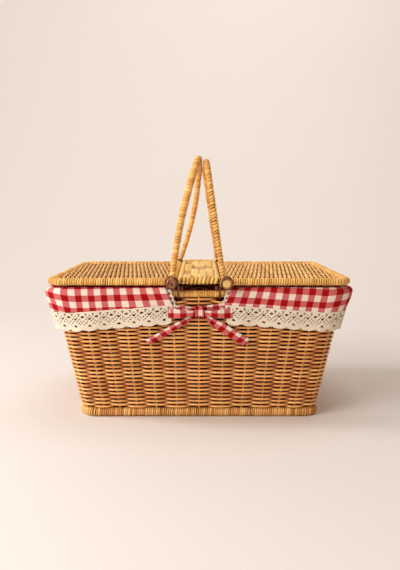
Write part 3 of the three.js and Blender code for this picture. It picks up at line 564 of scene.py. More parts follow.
def woven_panel(x0, x1, half_y, z, pitch, strand, stake, rows, lift, trim, seed):
    """Strands laid front to back, over and under cross stakes; strand and stake are radii."""
    chance = random.Random(seed)
    count = round((x1 - x0) / pitch)
    step = (x1 - x0) / count
    gap = 2 * half_y / rows
    strands = []
    for row in range(rows):
        y = -half_y + (row + 0.5) * gap
        # The cross stakes' low depth paints them in painted shade, as they lie under the strands
        strands.append(Strand(straight((x0, y, z), (x1, y, z), 8), stake, tint=0.3, depth=-0.15))
    for i in range(count):
        x = x0 + (i + 0.5) * step
        tone, half = chance.random(), half_y - trim(x)
        total = rows * STEPS
        points, depths = [], []
        for k in range(total + 1):
            y = mix(-half, half, k / total)
            wave = math.sin(math.pi * (y + half_y) / gap)
            crest = flattened(wave) * (-1) ** i
            sway = 0.35 * wavering(x * 0.2, y * 0.03, seed) + 0.4 * wave
            points.append(Vector((x + sway, y, z + lift * crest)))
            depths.append(0.5 + 0.5 * crest)
        strands.append(Strand(points, strand * chance.uniform(0.94, 1.03), False, tone, depths))
    return strands


def wall_station(z, p):
    """A point of the wall's middle and its outward direction; p counts columns of weave round the basket."""
    t = (z - WALL_BOTTOM) / (WALL_TOP - WALL_BOTTOM)
    length = mix(FOOT_LENGTH - FOOT_WIDTH, RIM_LENGTH - 2 * RIM_RADIUS, t)
    depth = mix(FOOT_DEPTH - FOOT_WIDTH, RIM_DEPTH - 2 * RIM_RADIUS, t)
    corner = mix(FOOT_CORNER - FOOT_WIDTH / 2, RIM_CORNER - RIM_RADIUS, t)
    p %= COLUMNS
    for quarter in range(4):
        facing = math.radians(90 * quarter - 90)
        out = Vector((math.cos(facing), math.sin(facing), 0))
        along = Vector((-out.y, out.x, 0))
        long_side = quarter % 2 == 0
        count = COLUMNS_LONG if long_side else COLUMNS_SHORT
        reach, half = (depth / 2, length / 2 - corner) if long_side else (length / 2, depth / 2 - corner)
        if p < count:
            share = p / count - STAKE_EASE * math.sin(math.tau * p / count) / math.tau
            return out * reach + along * half * (2 * share - 1) + UP * z, out
        p -= count
        if p < 1:
            turn = facing + p * math.pi / 2
            normal = Vector((math.cos(turn), math.sin(turn), 0))
            return out * (reach - corner) + along * half + normal * corner + UP * z, normal
        p -= 1


class BASKET_OT_weave_wall(bpy.types.Operator):
    """Weave the wall's strands in and out of its upright stakes"""
    bl_idname = "basket.weave_wall"
    bl_label = "Weave Wall"

    def execute(self, context):
        sizes = context.scene.basket_sizes
        radius, rise, stake = sizes.weft / 2 / MM, sizes.weft_rise / MM, sizes.stake / 2 / MM
        front = WALL_HALF + COLUMN_BULGE - 0.1 - radius
        middle = front - radius - stake
        chance = random.Random(5)
        rows = round((WALL_TOP - WALL_BOTTOM) / rise)
        rise = (WALL_TOP - WALL_BOTTOM) / rows
        strands = []
        for row in range(rows):
            points, depths = [], []
            for i in range(COLUMNS * STEPS):
                p = i / STEPS
                angle = math.tau * p / COLUMNS
                sway = wavering(9 * math.cos(angle), 9 * math.sin(angle), row * 1.7)
                crest = flattened(math.sin(math.pi * p)) * (-1) ** row
                place, out = wall_station(WALL_BOTTOM + (row + 0.5) * rise + 0.3 * sway, p)
                place.z -= self.pressed(place, rows - row)
                points.append(place + out * (middle + (front - middle) * crest + 0.25 * sway))
                depths.append(0.5 + 0.5 * crest)
            girth = radius * chance.uniform(0.93, 1.05)
            strands.append(Strand(points, girth, True, chance.random(), depths))
        strand_piece("wall_weave", strands, "varnished_wall_cane", "cane", "woven_wall")
        uprights = []
        levels = [mix(WALL_BOTTOM - 1, WALL_TOP + 1, k / 6) for k in range(7)]
        for column in range(COLUMNS):
            stations = [wall_station(z, column + 0.5) for z in levels]
            way = [place + out * middle for place, out in stations]
            uprights.append(Strand(way, stake, tint=chance.random()))
        strand_piece("wall_stakes", uprights, "varnished_wall_cane", "cane")
        return {"FINISHED"}

    def pressed(self, place, below_rim):
        """How far the hooks of the hinge loops push the uppermost strands down."""
        deepest, easing, breadth = 3.6, 0.9, 5
        if abs(place.y) < RIM_AXIS_Y - 12:
            return 0.0
        off = (abs(place.x) - HINGE_X + LOOP_RADIUS) / breadth
        return max(0.0, deepest - easing * below_rim) * math.exp(-off * off)


class BASKET_OT_bind_borders(bpy.types.Operator):
    """Bind the foot border and the top rim with cane"""
    bl_idname = "basket.bind_borders"
    bl_label = "Bind Borders"

    def execute(self, context):
        sizes = context.scene.basket_sizes
        pitch, half, height = sizes.foot_wrap / MM, FOOT_WIDTH / 2, FOOT_HEIGHT / 2
        end = FOOT_LENGTH / 2
        way = border_way(-end, end, FOOT_DEPTH / 2, [FOOT_CORNER] * 4, half, height)
        strands = binding(
            way, True, pitch, half, height, strand=0.56 * pitch, core=half - 1.4, seed=11, uneven=0.19)
        strand_piece("foot_binding", strands, "varnished_foot_cane", "cane", "foot_border")
        pitch, half, end = sizes.rim_wrap / MM, RIM_RADIUS, RIM_LENGTH / 2
        way = border_way(-end, end, RIM_DEPTH / 2, [RIM_CORNER] * 4, half, RIM_HEIGHT)
        strands = binding(way, True, pitch, half, half, strand=0.58 * pitch, core=half - 1.2, seed=12)
        strand_piece("rim_binding", strands, "varnished_lid_cane", "cane", "top_rim")
        return {"FINISHED"}


class BASKET_OT_weave_base(bpy.types.Operator):
    """Weave the base panel inside the foot border"""
    bl_idname = "basket.weave_base"
    bl_label = "Weave Base"

    def execute(self, context):
        half_x, half_y = FOOT_LENGTH / 2 - FOOT_WIDTH, FOOT_DEPTH / 2 - FOOT_WIDTH
        strands = woven_panel(
            -half_x, half_x, half_y, BASE_HEIGHT, pitch=6.5, strand=2.1, stake=1.2, rows=8, lift=1.3,
            trim=corner_trim(half_x, FOOT_CORNER - FOOT_WIDTH), seed=21)
        strand_piece("base_weave", strands, "varnished_wall_cane", "cane", "base_panel")
        return {"FINISHED"}


class BASKET_OT_lay_bridge(bpy.types.Operator):
    """Lay the bridge's rods, bound ends, ribs and flat strips"""
    bl_idname = "basket.lay_bridge"
    bl_label = "Lay Bridge"

    def execute(self, context):
        end_y = LID_HALF_DEPTH - BRIDGE_END_RADIUS
        rod_x = BRIDGE_HALF - BRIDGE_SIDE_RADIUS + 1.3
        strands = []
        for side in SIDES.values():
            front = (side * rod_x, -end_y, BRIDGE_HEIGHT)
            back = (side * rod_x, end_y, BRIDGE_HEIGHT + BRIDGE_RISE)
            strands.append(Strand(straight(front, back, 24), BRIDGE_SIDE_RADIUS, tint=0.7, depth=0.9))
        for end in ENDS.values():
            height = BRIDGE_HEIGHT + (1 + end) * BRIDGE_RISE / 2
            way = [
                (Vector((x, end * end_y, height)), Vector((0, end, 0)), UP)
                for x in (-BRIDGE_HALF + 1, BRIDGE_HALF - 1)
            ]
            strands += binding(
                way, False, pitch=5.2, half_width=BRIDGE_END_RADIUS, half_height=BRIDGE_END_RADIUS,
                strand=2.5, core=3.6, seed=31 + end)
        strand_piece("bridge_rods", strands, "varnished_flat_cane", "pale_cane", "bridge_frame")
        self.lay_strips(rod_x - BRIDGE_SIDE_RADIUS, end_y - BRIDGE_END_RADIUS + 1)
        dress("stained_rattan", *(f"bridge_post_{end}_{side}" for end in ENDS for side in SIDES))
        return {"FINISHED"}

    def lay_strips(self, half_x, half_y):
        """Wide strips that wave over the ribs and cover each other's edges, crowned to the middle."""
        gap, width = 2 * half_y / RIB_COUNT, 2 * half_x / STRIP_COUNT
        wave_height, crown_height, overlap, thickness = 1.5, 1.2, 1.4, 1.6
        chance = random.Random(41)
        bm = bmesh.new()
        tint, depth, along = (bm.verts.layers.float.new(label) for label in ("tint", "depth", "along"))
        bm.loops.layers.uv.new("UVMap")
        for i in range(STRIP_COUNT):
            made = bmesh.ops.create_grid(bm, x_segments=4, y_segments=60, size=0.5, calc_uvs=True)
            tone, lean, start = chance.random(), chance.uniform(-0.2, 0.2), chance.uniform(0, math.tau)
            for vert in made["verts"]:
                across, share = vert.co.x, vert.co.y + 0.5
                y = mix(-half_y, half_y, share)
                crest = math.sin(1.2 * math.pi * (y + half_y) / gap + start + 0.7 * wavering(y * 0.02, i, 3))
                crown = 0.1 * (1 - 4 * across * across) + crown_height * (1 - (y / half_y) ** 2)
                x = -half_x + (i + 0.5) * width + across * (width + overlap) + 0.3 * wavering(y * 0.02, i, 4)
                bed = BRIDGE_HEIGHT + BRIDGE_RISE * share + thickness
                vert.co = Vector((x, y, bed + wave_height * crest + crown + lean * across))
                # Painted light: the crest term pales strips where they rise and deepens them in the dips, and
                # the depth paints shade into the dips; the noise term is the strips' own tone
                vert[tint] = tone + 0.3 * crest + 0.6 * wavering(y * 0.03, 0.4 * i, 9)
                vert[depth], vert[along] = 0.5 + 0.4 * crest, y * MM
        bmesh.ops.solidify(bm, geom=bm.faces[:], thickness=thickness)
        mesh = smooth_mesh(bm, "bridge_strip_weave")
        piece("bridge_strip_weave", mesh, "varnished_flat_cane", "basket", "strip_cane", "bridge_strips")
        ribs = []
        for i in range(RIB_COUNT):
            y = -half_y + (i + 0.5) * gap
            rib = straight((-half_x, y, BRIDGE_HEIGHT), (half_x, y, BRIDGE_HEIGHT), 4)
            # The ribs' low depth paints them in painted shade, as they lie under the strips
            ribs.append(Strand(rib, BRIDGE_RIB_RADIUS, tint=0.3, depth=-0.2))
        strand_piece("bridge_ribs", ribs, "varnished_lid_cane", "pale_cane")


class BASKET_OT_weave_lids(bpy.types.Operator):
    """Bind the lids' borders and weave their infill"""
    bl_idname = "basket.weave_lids"
    bl_label = "Weave Lids"

    def execute(self, context):
        sizes = context.scene.basket_sizes
        pitch = sizes.border_wrap / MM
        half_y = LID_HALF_DEPTH - 2 * LID_RADIUS + 1
        trim = corner_trim(LID_END - 2 * LID_RADIUS, LID_CORNER - 2 * LID_RADIUS)
        edge = 2 * LID_RADIUS - 0.5
        for seed, (name, side) in enumerate(SIDES.items()):
            x0, x1 = sorted((side * (HINGE_X - LID_RADIUS), side * LID_END))
            radii = [LID_CORNER, LID_CORNER, LID_INNER_CORNER, LID_INNER_CORNER][::side]
            way = border_way(x0, x1, LID_HALF_DEPTH, radii, LID_RADIUS, AXIS_HEIGHT + 0.5)
            strands = binding(
                way, True, pitch, LID_RADIUS, LID_RADIUS - 0.9, strand=0.56 * pitch, core=3.9,
                seed=51 + seed, uneven=0.1)
            strand_piece(f"lid_binding_{name}", strands, "varnished_lid_cane", "pale_cane",
                         f"lid_border_{name}", body=f"lid_{name}")
            strands = woven_panel(
                x0 + edge, x1 - edge, half_y, AXIS_HEIGHT + 0.6, sizes.lid_strand / MM, strand=1.58,
                stake=1.4, rows=9, lift=1.6, trim=trim, seed=61 + seed)
            strand_piece(f"lid_strands_{name}", strands, "varnished_lid_cane", "strip_cane",
                         f"lid_weave_{name}", body=f"lid_{name}")
            for end in ENDS:
                # The front left peg gets the darker rattan tone
                dark = name == "left" and end == "front"
                dress("weathered_rattan" if dark else "scraped_rattan", f"hinge_peg_{end}_{name}")
        return {"FINISHED"}


class BASKET_OT_bind_handles(bpy.types.Operator):
    """Bind the two swing handles with cane"""
    bl_idname = "basket.bind_handles"
    bl_label = "Bind Handles"

    def execute(self, context):
        pitch = context.scene.basket_sizes.handle_wrap / MM
        foot = EYE_RADIUS + 0.3
        for seed, (name, side) in enumerate(SIDES.items()):
            left = name == "left"
            # The handles differ a little in height, and the left one is wound with flatter cane
            taller, groove, uneven, half = (1.9, 0.7, 0.03, 5.2) if left else (-3.4, 0.53, 0.1, 4.4)
            bend = HANDLE_RISE - HANDLE_CORNER + taller
            flat = [(-LEG_Y, foot, -1, 0), (-LEG_Y, bend, -1, 0)]
            for out in reversed(quarter_turn(90)[:-1]):
                y, height = HANDLE_CORNER - LEG_Y + HANDLE_CORNER * out.x, bend + HANDLE_CORNER * out.y
                flat.append((y, height, out.x, out.y))
            flat += [(-y, h, -a, b) for y, h, a, b in reversed(flat)]
            lean = math.asin((GRIP_X[name] - side * HINGE_X) / HANDLE_RISE)
            stand = Matrix.Translation((side * HINGE_X, 0, AXIS_HEIGHT)) @ Matrix.Rotation(lean, 4, "Y")
            turn = stand.to_3x3()
            across = turn @ Vector((1, 0, 0))
            way = [(stand @ Vector((0, y, h)), turn @ Vector((0, a, b)), across) for y, h, a, b in flat]
            way = [
                (point + across * self.bow(point, left), out, up)
                for point, out, up in spaced(way, 120, False)[0]
            ]
            strands = binding(
                way, False, pitch, half, half, strand=groove * pitch, core=half - 1.8, seed=71 + seed,
                uneven=uneven, slim=self.slim)
            strand_piece(f"handle_winding_{name}", strands, "varnished_lid_cane", "pale_cane",
                         f"handle_binding_{name}", body=f"handle_{name}")
            eyes = self.eyes(stand, SMALL_EYE_RADIUS if left else EYE_RADIUS)
            piece(f"handle_eyes_{name}", eyes, "scraped_rattan", f"handle_{name}", "rattan",
                  f"handle_core_{name}")
        return {"FINISHED"}

    def slim(self, share):
        """How the winding thins towards both feet."""
        return mix(0.85, 1.0, min(1.0, 6 * min(share, 1 - share)))

    def bow(self, point, left):
        """How far a rod is bent aside: the left one's front leg outwards, its back leg towards the middle."""
        height = min(max((point.z - AXIS_HEIGHT) / HANDLE_RISE, 0), 1)
        if not left:
            return -3.2 + 2.2 * height
        lean = -4.5 if point.y < 0 else 6.0
        share = min(1.0, abs(point.y) / LEG_Y)
        return lean * share * math.sin(math.pi * height) + (1.4 + 0.6 * point.y / LEG_Y) * height

    def eyes(self, stand, reach):
        """The rod's two ends, bent into eyes round the hinge pegs."""
        half_length, clearance = 4, 0.4
        bm = bmesh.new()
        for end in ENDS.values():
            made = bmesh.ops.create_circle(bm, segments=12, radius=1.0)
            middle = (reach + PEG_RADIUS + clearance) / 2
            for vert in made["verts"]:
                x, y = middle + vert.co.x * (reach - middle), end * LEG_Y + half_length * vert.co.y
                vert.co = Vector((x, y, 0))
            edges = list({e for v in made["verts"] for e in v.link_edges})
            bmesh.ops.spin(bm, geom=edges, cent=(0, end * LEG_Y, 0), axis=(0, 1, 0), angle=math.tau, steps=28,
                           use_merge=True)
        bmesh.ops.remove_doubles(bm, verts=bm.verts, dist=0.01)
        bmesh.ops.recalc_face_normals(bm, faces=bm.faces)
        mesh = smooth_mesh(bm, "handle_eyes")
        mesh.transform(stand)
        return mesh


class BASKET_OT_bend_wires(bpy.types.Operator):
    """Bend the hinge loops and the handle ties from coated wire"""
    bl_idname = "basket.bend_wires"
    bl_label = "Bend Wires"

    def execute(self, context):
        sizes = context.scene.basket_sizes
        for end_name, end in ENDS.items():
            for side_name, side in SIDES.items():
                name = f"{end_name}_{side_name}"
                loop = Strand(self.hinge_way(side, end), sizes.wire / 2 / MM)
                strand_piece(f"hinge_wire_{name}", [loop], "plastic_coated_wire", "brown_wire",
                             f"hinge_loop_{name}", body=f"hinge_loop_{name}", sides=8)
                tie = self.tie(side, end, sizes.tie_wire / 2 / MM)
                strand_piece(f"tie_wire_{name}", tie, "plastic_coated_wire", "brown_wire",
                             f"handle_tie_{name}", body=f"lid_{side_name}", sides=8)
        return {"FINISHED"}

    def hinge_way(self, side, end):
        """Round the hinge peg, down beside the bridge and round the rim."""
        hook_x, hook_y = HINGE_X - LOOP_RADIUS, RIM_AXIS_Y + HOOK_RADIUS
        low = AXIS_HEIGHT - LID_RADIUS
        points = []
        for i in range(10):
            angle = math.radians(-125 + 305 * i / 9)
            x, z = HINGE_X + LOOP_RADIUS * math.cos(angle), AXIS_HEIGHT + LOOP_RADIUS * math.sin(angle)
            points.append((x, LOOP_Y, z))
        points += [(hook_x, LOOP_Y, low), (hook_x, (LOOP_Y + hook_y) / 2, (low + RIM_HEIGHT) / 2)]
        for i in range(7):
            angle = math.radians(-200 * i / 6)
            y, z = RIM_AXIS_Y + HOOK_RADIUS * math.cos(angle), RIM_HEIGHT + HOOK_RADIUS * math.sin(angle)
            points.append((hook_x, y, z))
        return smooth_way([Vector((side * x, end * y, z)) for x, y, z in points], 5)

    def tie(self, side, end, radius):
        """A turn round the peg; at the back its ends are splayed."""
        centre = Vector((side * HINGE_X, end * TIE_Y, AXIS_HEIGHT))
        if side < 0 and end < 0:
            return self.bent_tie(centre, end, radius)
        points = []
        legs, per_turn, slip = 28, 24, 1.2
        for i in range(legs + 1):
            angle = math.tau * i / per_turn - math.pi / 2
            ring = PEG_RADIUS + 2.4 + 0.6 * math.cos(angle)
            turn = Vector((ring * math.cos(angle), -end * slip * i / legs, ring * math.sin(angle)))
            points.append(centre + turn)
        strands = [Strand(points, 0.85 * radius)]
        twisted, splayed = 10, 5
        for sign in (1, -1) if end > 0 else ():
            points = []
            for i in range(twisted + splayed):
                angle = math.tau * i / twisted + (0 if sign > 0 else math.pi)
                spread = 0.5 * radius + (0.9 * max(0, i + 1 - twisted)) ** 1.4
                x = spread * math.cos(angle) if i < twisted else sign * spread
                height = PEG_RADIUS + radius + 0.5 * i
                points.append(centre + Vector((x, 0.5 * radius * math.sin(angle), height)))
            strands.append(Strand(points, 0.6 * radius))
        return strands

    def bent_tie(self, centre, end, radius):
        """The tie at the front left: pulled into a D, with its twisted ends bent over the peg's face."""
        ring = [(-1.4, 10.6), (-3.6, 3), (-5.6, -4), (1, -6.4), (9, -7.4), (8.6, -1), (5, 6), (-1.4, 10.6)]
        twist = [(-1.6, 1.8), (-0.4, 0.5), (0.6, -0.6), (1.8, -1.4)]
        ring, twist = ([centre + Vector((x, end * TIE_OUT, z)) for x, z in line] for line in (ring, twist))
        return [Strand(smooth_way(ring, 6), 0.85 * radius), Strand(twist, 1.2 * radius)]


def cloth(name, across, down, width, length, place, closed=False, is_open=None, drop=None):
    """A sheet whose point (u, v), from 0 to 1 each, lies at place(u, v).

    It has holes where is_open(run, drop) says so, and drop(u, v) says how far down its weave is.
    """
    bm = bmesh.new()
    uv = bm.loops.layers.uv.new("UVMap")
    bmesh.ops.create_grid(bm, x_segments=across, y_segments=down, size=0.5, calc_uvs=True)
    for face in bm.faces:
        for loop in face.loops:
            u, v = loop.vert.co.x + 0.5, loop.vert.co.y + 0.5
            loop[uv].uv = (u * width * MM, (drop(u, v) if drop else v * length) * MM)
    if is_open:
        cut_holes(bm, width, length, is_open)
    for vert in bm.verts:
        vert.co = place(vert.co.x + 0.5, vert.co.y + 0.5)
    if closed:
        bmesh.ops.remove_doubles(bm, verts=bm.verts, dist=0.01)
    bmesh.ops.recalc_face_normals(bm, faces=bm.faces)
    return smooth_mesh(bm, name)


def cut_holes(bm, width, length, is_open):
    """Opens a flat sheet of unit size where is_open(run, drop) says so, and rounds the holes."""
    holes = []
    for face in bm.faces:
        spot = face.calc_center_median()
        if is_open((spot.x + 0.5) * width, (spot.y + 0.5) * length):
            holes.append(face)
    bmesh.ops.delete(bm, geom=holes, context="FACES")
    edges = [v for v in bm.verts if v.is_boundary and max(abs(v.co.x), abs(v.co.y)) < 0.499]
    for _ in range(3):
        bmesh.ops.smooth_vert(bm, verts=edges, factor=0.5, use_axis_x=True, use_axis_y=True)


def thicken(made, thickness):
    """Gives a sheet its thickness, half to each side, and tells its area before that."""
    solid = made.modifiers.new("thickness", "SOLIDIFY")
    solid.thickness = thickness
    solid.offset = 0.0
    return sum(p.area for p in made.data.polygons)


def skirt_way(side, count):
    """Stations along the rim's outline from one edge of the middle gap round an end to the other."""
    half_x, half_y = RIM_LENGTH / 2, RIM_DEPTH / 2
    way = [
        (Vector((SKIRT_EDGE_X, -half_y, 0)), Vector((0, -1, 0)), UP),
        *border_way(-half_x, half_x, half_y, [RIM_CORNER] * 2, 0, 0),
        (Vector((SKIRT_EDGE_X, half_y, 0)), Vector((0, 1, 0)), UP),
    ]
    if side < 0:
        turn = Matrix.Rotation(math.pi, 3, "Z")
        way = [(turn @ p, turn @ n, u) for p, n, u in way]
    return spaced(way, count, False)


def wall_slope(out):
    """How far the wall leans out towards a direction for each millimetre of height."""
    spread_x = RIM_LENGTH / 2 - RIM_CORNER - FOOT_LENGTH / 2 + FOOT_CORNER
    spread_y = RIM_DEPTH / 2 - RIM_CORNER - FOOT_DEPTH / 2 + FOOT_CORNER
    corner = RIM_CORNER - RIM_RADIUS - FOOT_CORNER + FOOT_WIDTH / 2
    return (spread_x * abs(out.x) + spread_y * abs(out.y) + corner) / (WALL_TOP - WALL_BOTTOM)


def wall_middle(out, z):
    """The wall's middle at a height, from the rim's outline."""
    return -RIM_RADIUS - (WALL_TOP - z) * wall_slope(out)


def hem_height(point):
    """The skirt's hem rises from the corners towards the middle gap."""
    corner = RIM_LENGTH / 2 - RIM_CORNER
    t = min(max((corner - abs(point.x)) / (corner - SKIRT_EDGE_X), 0), 1)
    return RIM_HEIGHT - mix(HEM_DROP_CORNER, HEM_DROP_GAP, t)


def hang(out, run, z):
    """Where hanging cloth stands at a height, with its soft folds."""
    clear, fold_height, fold_width = 3.5, 1.2, 62
    fold = fold_height * math.sin(math.tau * run / fold_width)
    return wall_middle(out, z) + WALL_HALF + COLUMN_BULGE + clear + fold


def slant(run, width, pull=HEM_PULL):
    """How far the cut edges of skirt and lace lean on towards the middle gap at the hem."""
    lean, reach = 11, 70
    return (lean - pull) * max(0.0, 1 - min(run, width - run) / reach)


def skirt_line(station, run, count):
    """The skirt's fall from the pouch over the rim to its hem, as evenly spaced (outset, height) points."""
    point, out, _ = station
    under_lid = 1.6
    hem, crest = hem_height(point), AXIS_HEIGHT - LID_RADIUS - under_lid
    start = POUCH_HEM + 0.3
    puff = 7 * abs(out.x) ** 1.5  # the cloth stands out more round the ends
    line = [
        (wall_middle(out, start) - WALL_HALF - 2, start), (-11.3, RIM_HEIGHT), (-9.6, 179.8),
        (-RIM_RADIUS, crest - 0.8), (0.5 * puff, crest), (4.6 + puff, 176),
        (hang(out, run, hem) + 0.5 * puff, hem),
    ]
    way = [(p,) for p in smooth_way([Vector((a, b, 0)) for a, b in line], 10)]
    return [p for p, in spaced(way, count, False)[0]]


class BASKET_OT_sew_liner(bpy.types.Operator):
    """Sew the gingham pouch and its two skirts over the rim"""
    bl_idname = "basket.sew_liner"
    bl_label = "Sew Liner"

    def execute(self, context):
        self.sew_pouch(context)
        for name, side in SIDES.items():
            self.sew_skirt(context, name, side)
        return {"FINISHED"}

    def sew_pouch(self, context):
        inside = WALL_HALF + 1.3
        across, down, width, length = 160, 20, 1100, 240
        base_share = 0.3  # of the rows lie on the base

        def place(u, v):
            p = u * COLUMNS
            if v < base_share:
                edge, out = wall_station(POUCH_FLOOR, p)
                edge = (edge - out * inside) * v / base_share
                return Vector((edge.x, edge.y, POUCH_FLOOR))
            share = (v - base_share) / (1 - base_share)
            z = mix(POUCH_FLOOR, POUCH_HEM, share)
            edge, out = wall_station(z, p)
            slack = 1.6 * (0.5 + 0.5 * wavering(edge.x * 0.03, edge.y * 0.03, z * 0.02))
            point = edge - out * (inside + slack * math.sin(math.pi * share))
            return Vector((point.x, point.y, z))

        mesh = cloth("liner_tub", across, down, width, length, place, closed=True)
        made = piece("liner_tub", mesh, "gingham_cotton", "basket", "lining", "liner_pouch")
        area = thicken(made, context.scene.basket_sizes.cloth)

    def sew_skirt(self, context, name, side):
        across, down = SKIRT_ACROSS, SKIRT_DOWN
        stations, width = skirt_way(side, across)
        lines = [skirt_line(s, width * i / across, down) for i, s in enumerate(stations)]
        falls = [runs(line)[-1] for line in lines]
        start, tilt, pull = (0.9, 4, 3) if side < 0 else (-2.7, 10.3, HEM_PULL)
        tilted, held = 150, 0.55  # the run over which the checks tilt; the share of the fall on the rim

        def drop(u, v):
            """The checks run down from the gap to the ends."""
            ramp = min(1.0, u * width / tilted, (1 - u) * width / tilted)
            return start + v * falls[round(u * across)] - tilt * ramp

        def place(u, v):
            i, k = round(u * across), round(v * down)
            point, out, _ = stations[i]
            spot = lines[i][k]
            run = u * width
            free = max(0.0, v - held) / (1 - held)
            broad, fine = wavering(run * 0.035, v * 2.2, 3 + side), wavering(run * 0.11, v * 5, 7 + side)
            reach = spot.x + free * (1.3 * broad + 0.5 * fine)
            shift = (slant(run, width, pull) + pull * abs(out.y)) * free
            x = point.x + out.x * reach - math.copysign(shift, point.x)
            return Vector((x, point.y + out.y * reach, spot.y))

        length = sum(falls) / len(falls)
        mesh = cloth("skirt", across, down, width, length, place, drop=drop)
        made = piece(f"gingham_skirt_{name}", mesh, "gingham_cotton", "basket", "gingham",
                     f"liner_skirt_{name}")
        thicken(made, context.scene.basket_sizes.cloth)


class BASKET_OT_sew_lace(bpy.types.Operator):
    """Sew the scalloped lace under the skirts and up their cut edges"""
    bl_idname = "basket.sew_lace"
    bl_label = "Sew Lace"

    def execute(self, context):
        pitch = context.scene.basket_sizes.scallop / MM
        for name, side in SIDES.items():
            self.sew(name, side, pitch)
            for end_name, end in ENDS.items():
                self.edge(f"{end_name}_{name}", name, side, end)
        return {"FINISHED"}

    def sew(self, name, side, pitch):
        stations, width = skirt_way(side, 600)
        scallops = round(width / pitch)
        pitch = width / scallops

        def is_open(run, drop):
            return self.open_at((run / pitch % 1 - 0.5) * pitch, pitch / 2, drop)

        def place(u, v):
            return self.hung(u * width, v * LACE_HEIGHT, stations, width, pitch)

        across, down = 30 * scallops, 40
        mesh = cloth("lace", across, down, width, LACE_HEIGHT, place, is_open=is_open)
        made = piece(f"cotton_lace_{name}", mesh, "cotton_lace", "basket", "lace", f"lace_{name}")
        self.declare(made, name, width, LACE_HEIGHT)

    def edge(self, corner, name, side, end):
        """The lace that trims a skirt's cut edge, from the lid down past the hem."""
        stations, width = skirt_way(side, SKIRT_ACROSS)
        station, run = (stations[0], 0.0) if end * side < 0 else (stations[-1], width)
        point, out, _ = station
        legs = SKIRT_DOWN // 2
        line = skirt_line(station, run, SKIRT_DOWN)[legs:]
        past_hem, breadth, bead, lean = 7, 10, 6.4, 11
        fall = runs(line)[-1]
        length = fall + past_hem

        def is_open(across, drop):
            return math.hypot((across - 6.8) / 1.2, (drop % bead - bead / 2) / 1.5) < 1 and drop < length - 3

        def place(u, v):
            drop = v * length
            spot = line[min(round(drop / fall * legs), legs)]
            below = max(0.0, drop - fall)
            free = max(0.0, min(1.0, drop / fall))
            wave = 0.5 * math.sin(math.tau * drop / bead)
            x = SKIRT_EDGE_X + 5.5 - u * breadth - wave * u - lean * free
            reach = spot.x - 0.9 + 0.4 * math.sin(2.2 * u + drop * 0.3)
            return Vector((side * x, point.y + out.y * reach, spot.y - below))

        across, down = 16, 52
        mesh = cloth("lace_edge", across, down, breadth, length, place, is_open=is_open)
        made = piece(f"lace_edge_{corner}", mesh, "cotton_lace", "basket", "lace")
        self.declare(made, name, breadth, length)

    def declare(self, made, name, width, length):
        area = thicken(made, LACE_THICKNESS * MM)

    def open_at(self, u, half, v):
        """Whether the lace is open at u from the middle of a scallop and v below the hem."""
        between = half - abs(u)
        upper, lower = 7.6, 19.4  # rows of the large holes
        holes = (  # distance from a hole's middle, its half width, its row and its half height
            (between, 2.3, upper, 1.4), (u, 2.1, lower, 1.3), (u, 1.6, 9.6, 0.9),
            (abs(u) - half / 2, 1.5, 3.2, 0.7),
        )
        if any(math.hypot(off / wide, (v - row) / high) < 1 for off, wide, row, high in holes):
            return True
        if not 4.4 < v < 18.5 or math.hypot(u, v - lower) < 5.2 or math.hypot(between, v - upper) < 3.4:
            return False
        slope, mesh = 0.9, 4.7  # the net between them
        rising, falling = (u + slope * v) / mesh, (u - slope * v) / mesh
        return abs(rising - round(rising)) < 0.13 and abs(falling - round(falling)) < 0.3

    def hung(self, run, drop, stations, width, pitch):
        """Where a point of the lace hangs, by its run along the skirt and its drop below the hem."""
        at = min(run / width, 1) * (len(stations) - 1)
        leg = min(int(at), len(stations) - 2)
        point, out, _ = (a.lerp(b, at - leg) for a, b in zip(stations[leg], stations[leg + 1]))
        notch = 1 - abs(math.sin(math.pi * run / pitch)) ** 0.6
        scallop = 3.2 * notch + 0.3 * math.sin(math.tau * run / (pitch / 5))
        z = hem_height(point) + 0.8 - drop * (1 - scallop / LACE_HEIGHT)
        free = drop / LACE_HEIGHT
        ripple = 0.9 * math.sin(math.tau * run / (2.5 * pitch)) + 0.8 * wavering(run * 0.05, drop * 0.1, 5)
        cord = 0.4 * math.exp(-((drop - LACE_HEIGHT) / 1.4) ** 2)
        puff = 3.5 * abs(out.x) ** 1.5 * (1 - 0.6 * free)
        reach = hang(out, run, z) + 0.6 + 0.7 * free * ripple + cord + puff
        shift = slant(run, width) * (1 - 0.4 * free) + HEM_PULL * abs(out.y)
        return Vector((point.x + out.x * reach - math.copysign(shift, point.x), point.y + out.y * reach, z))


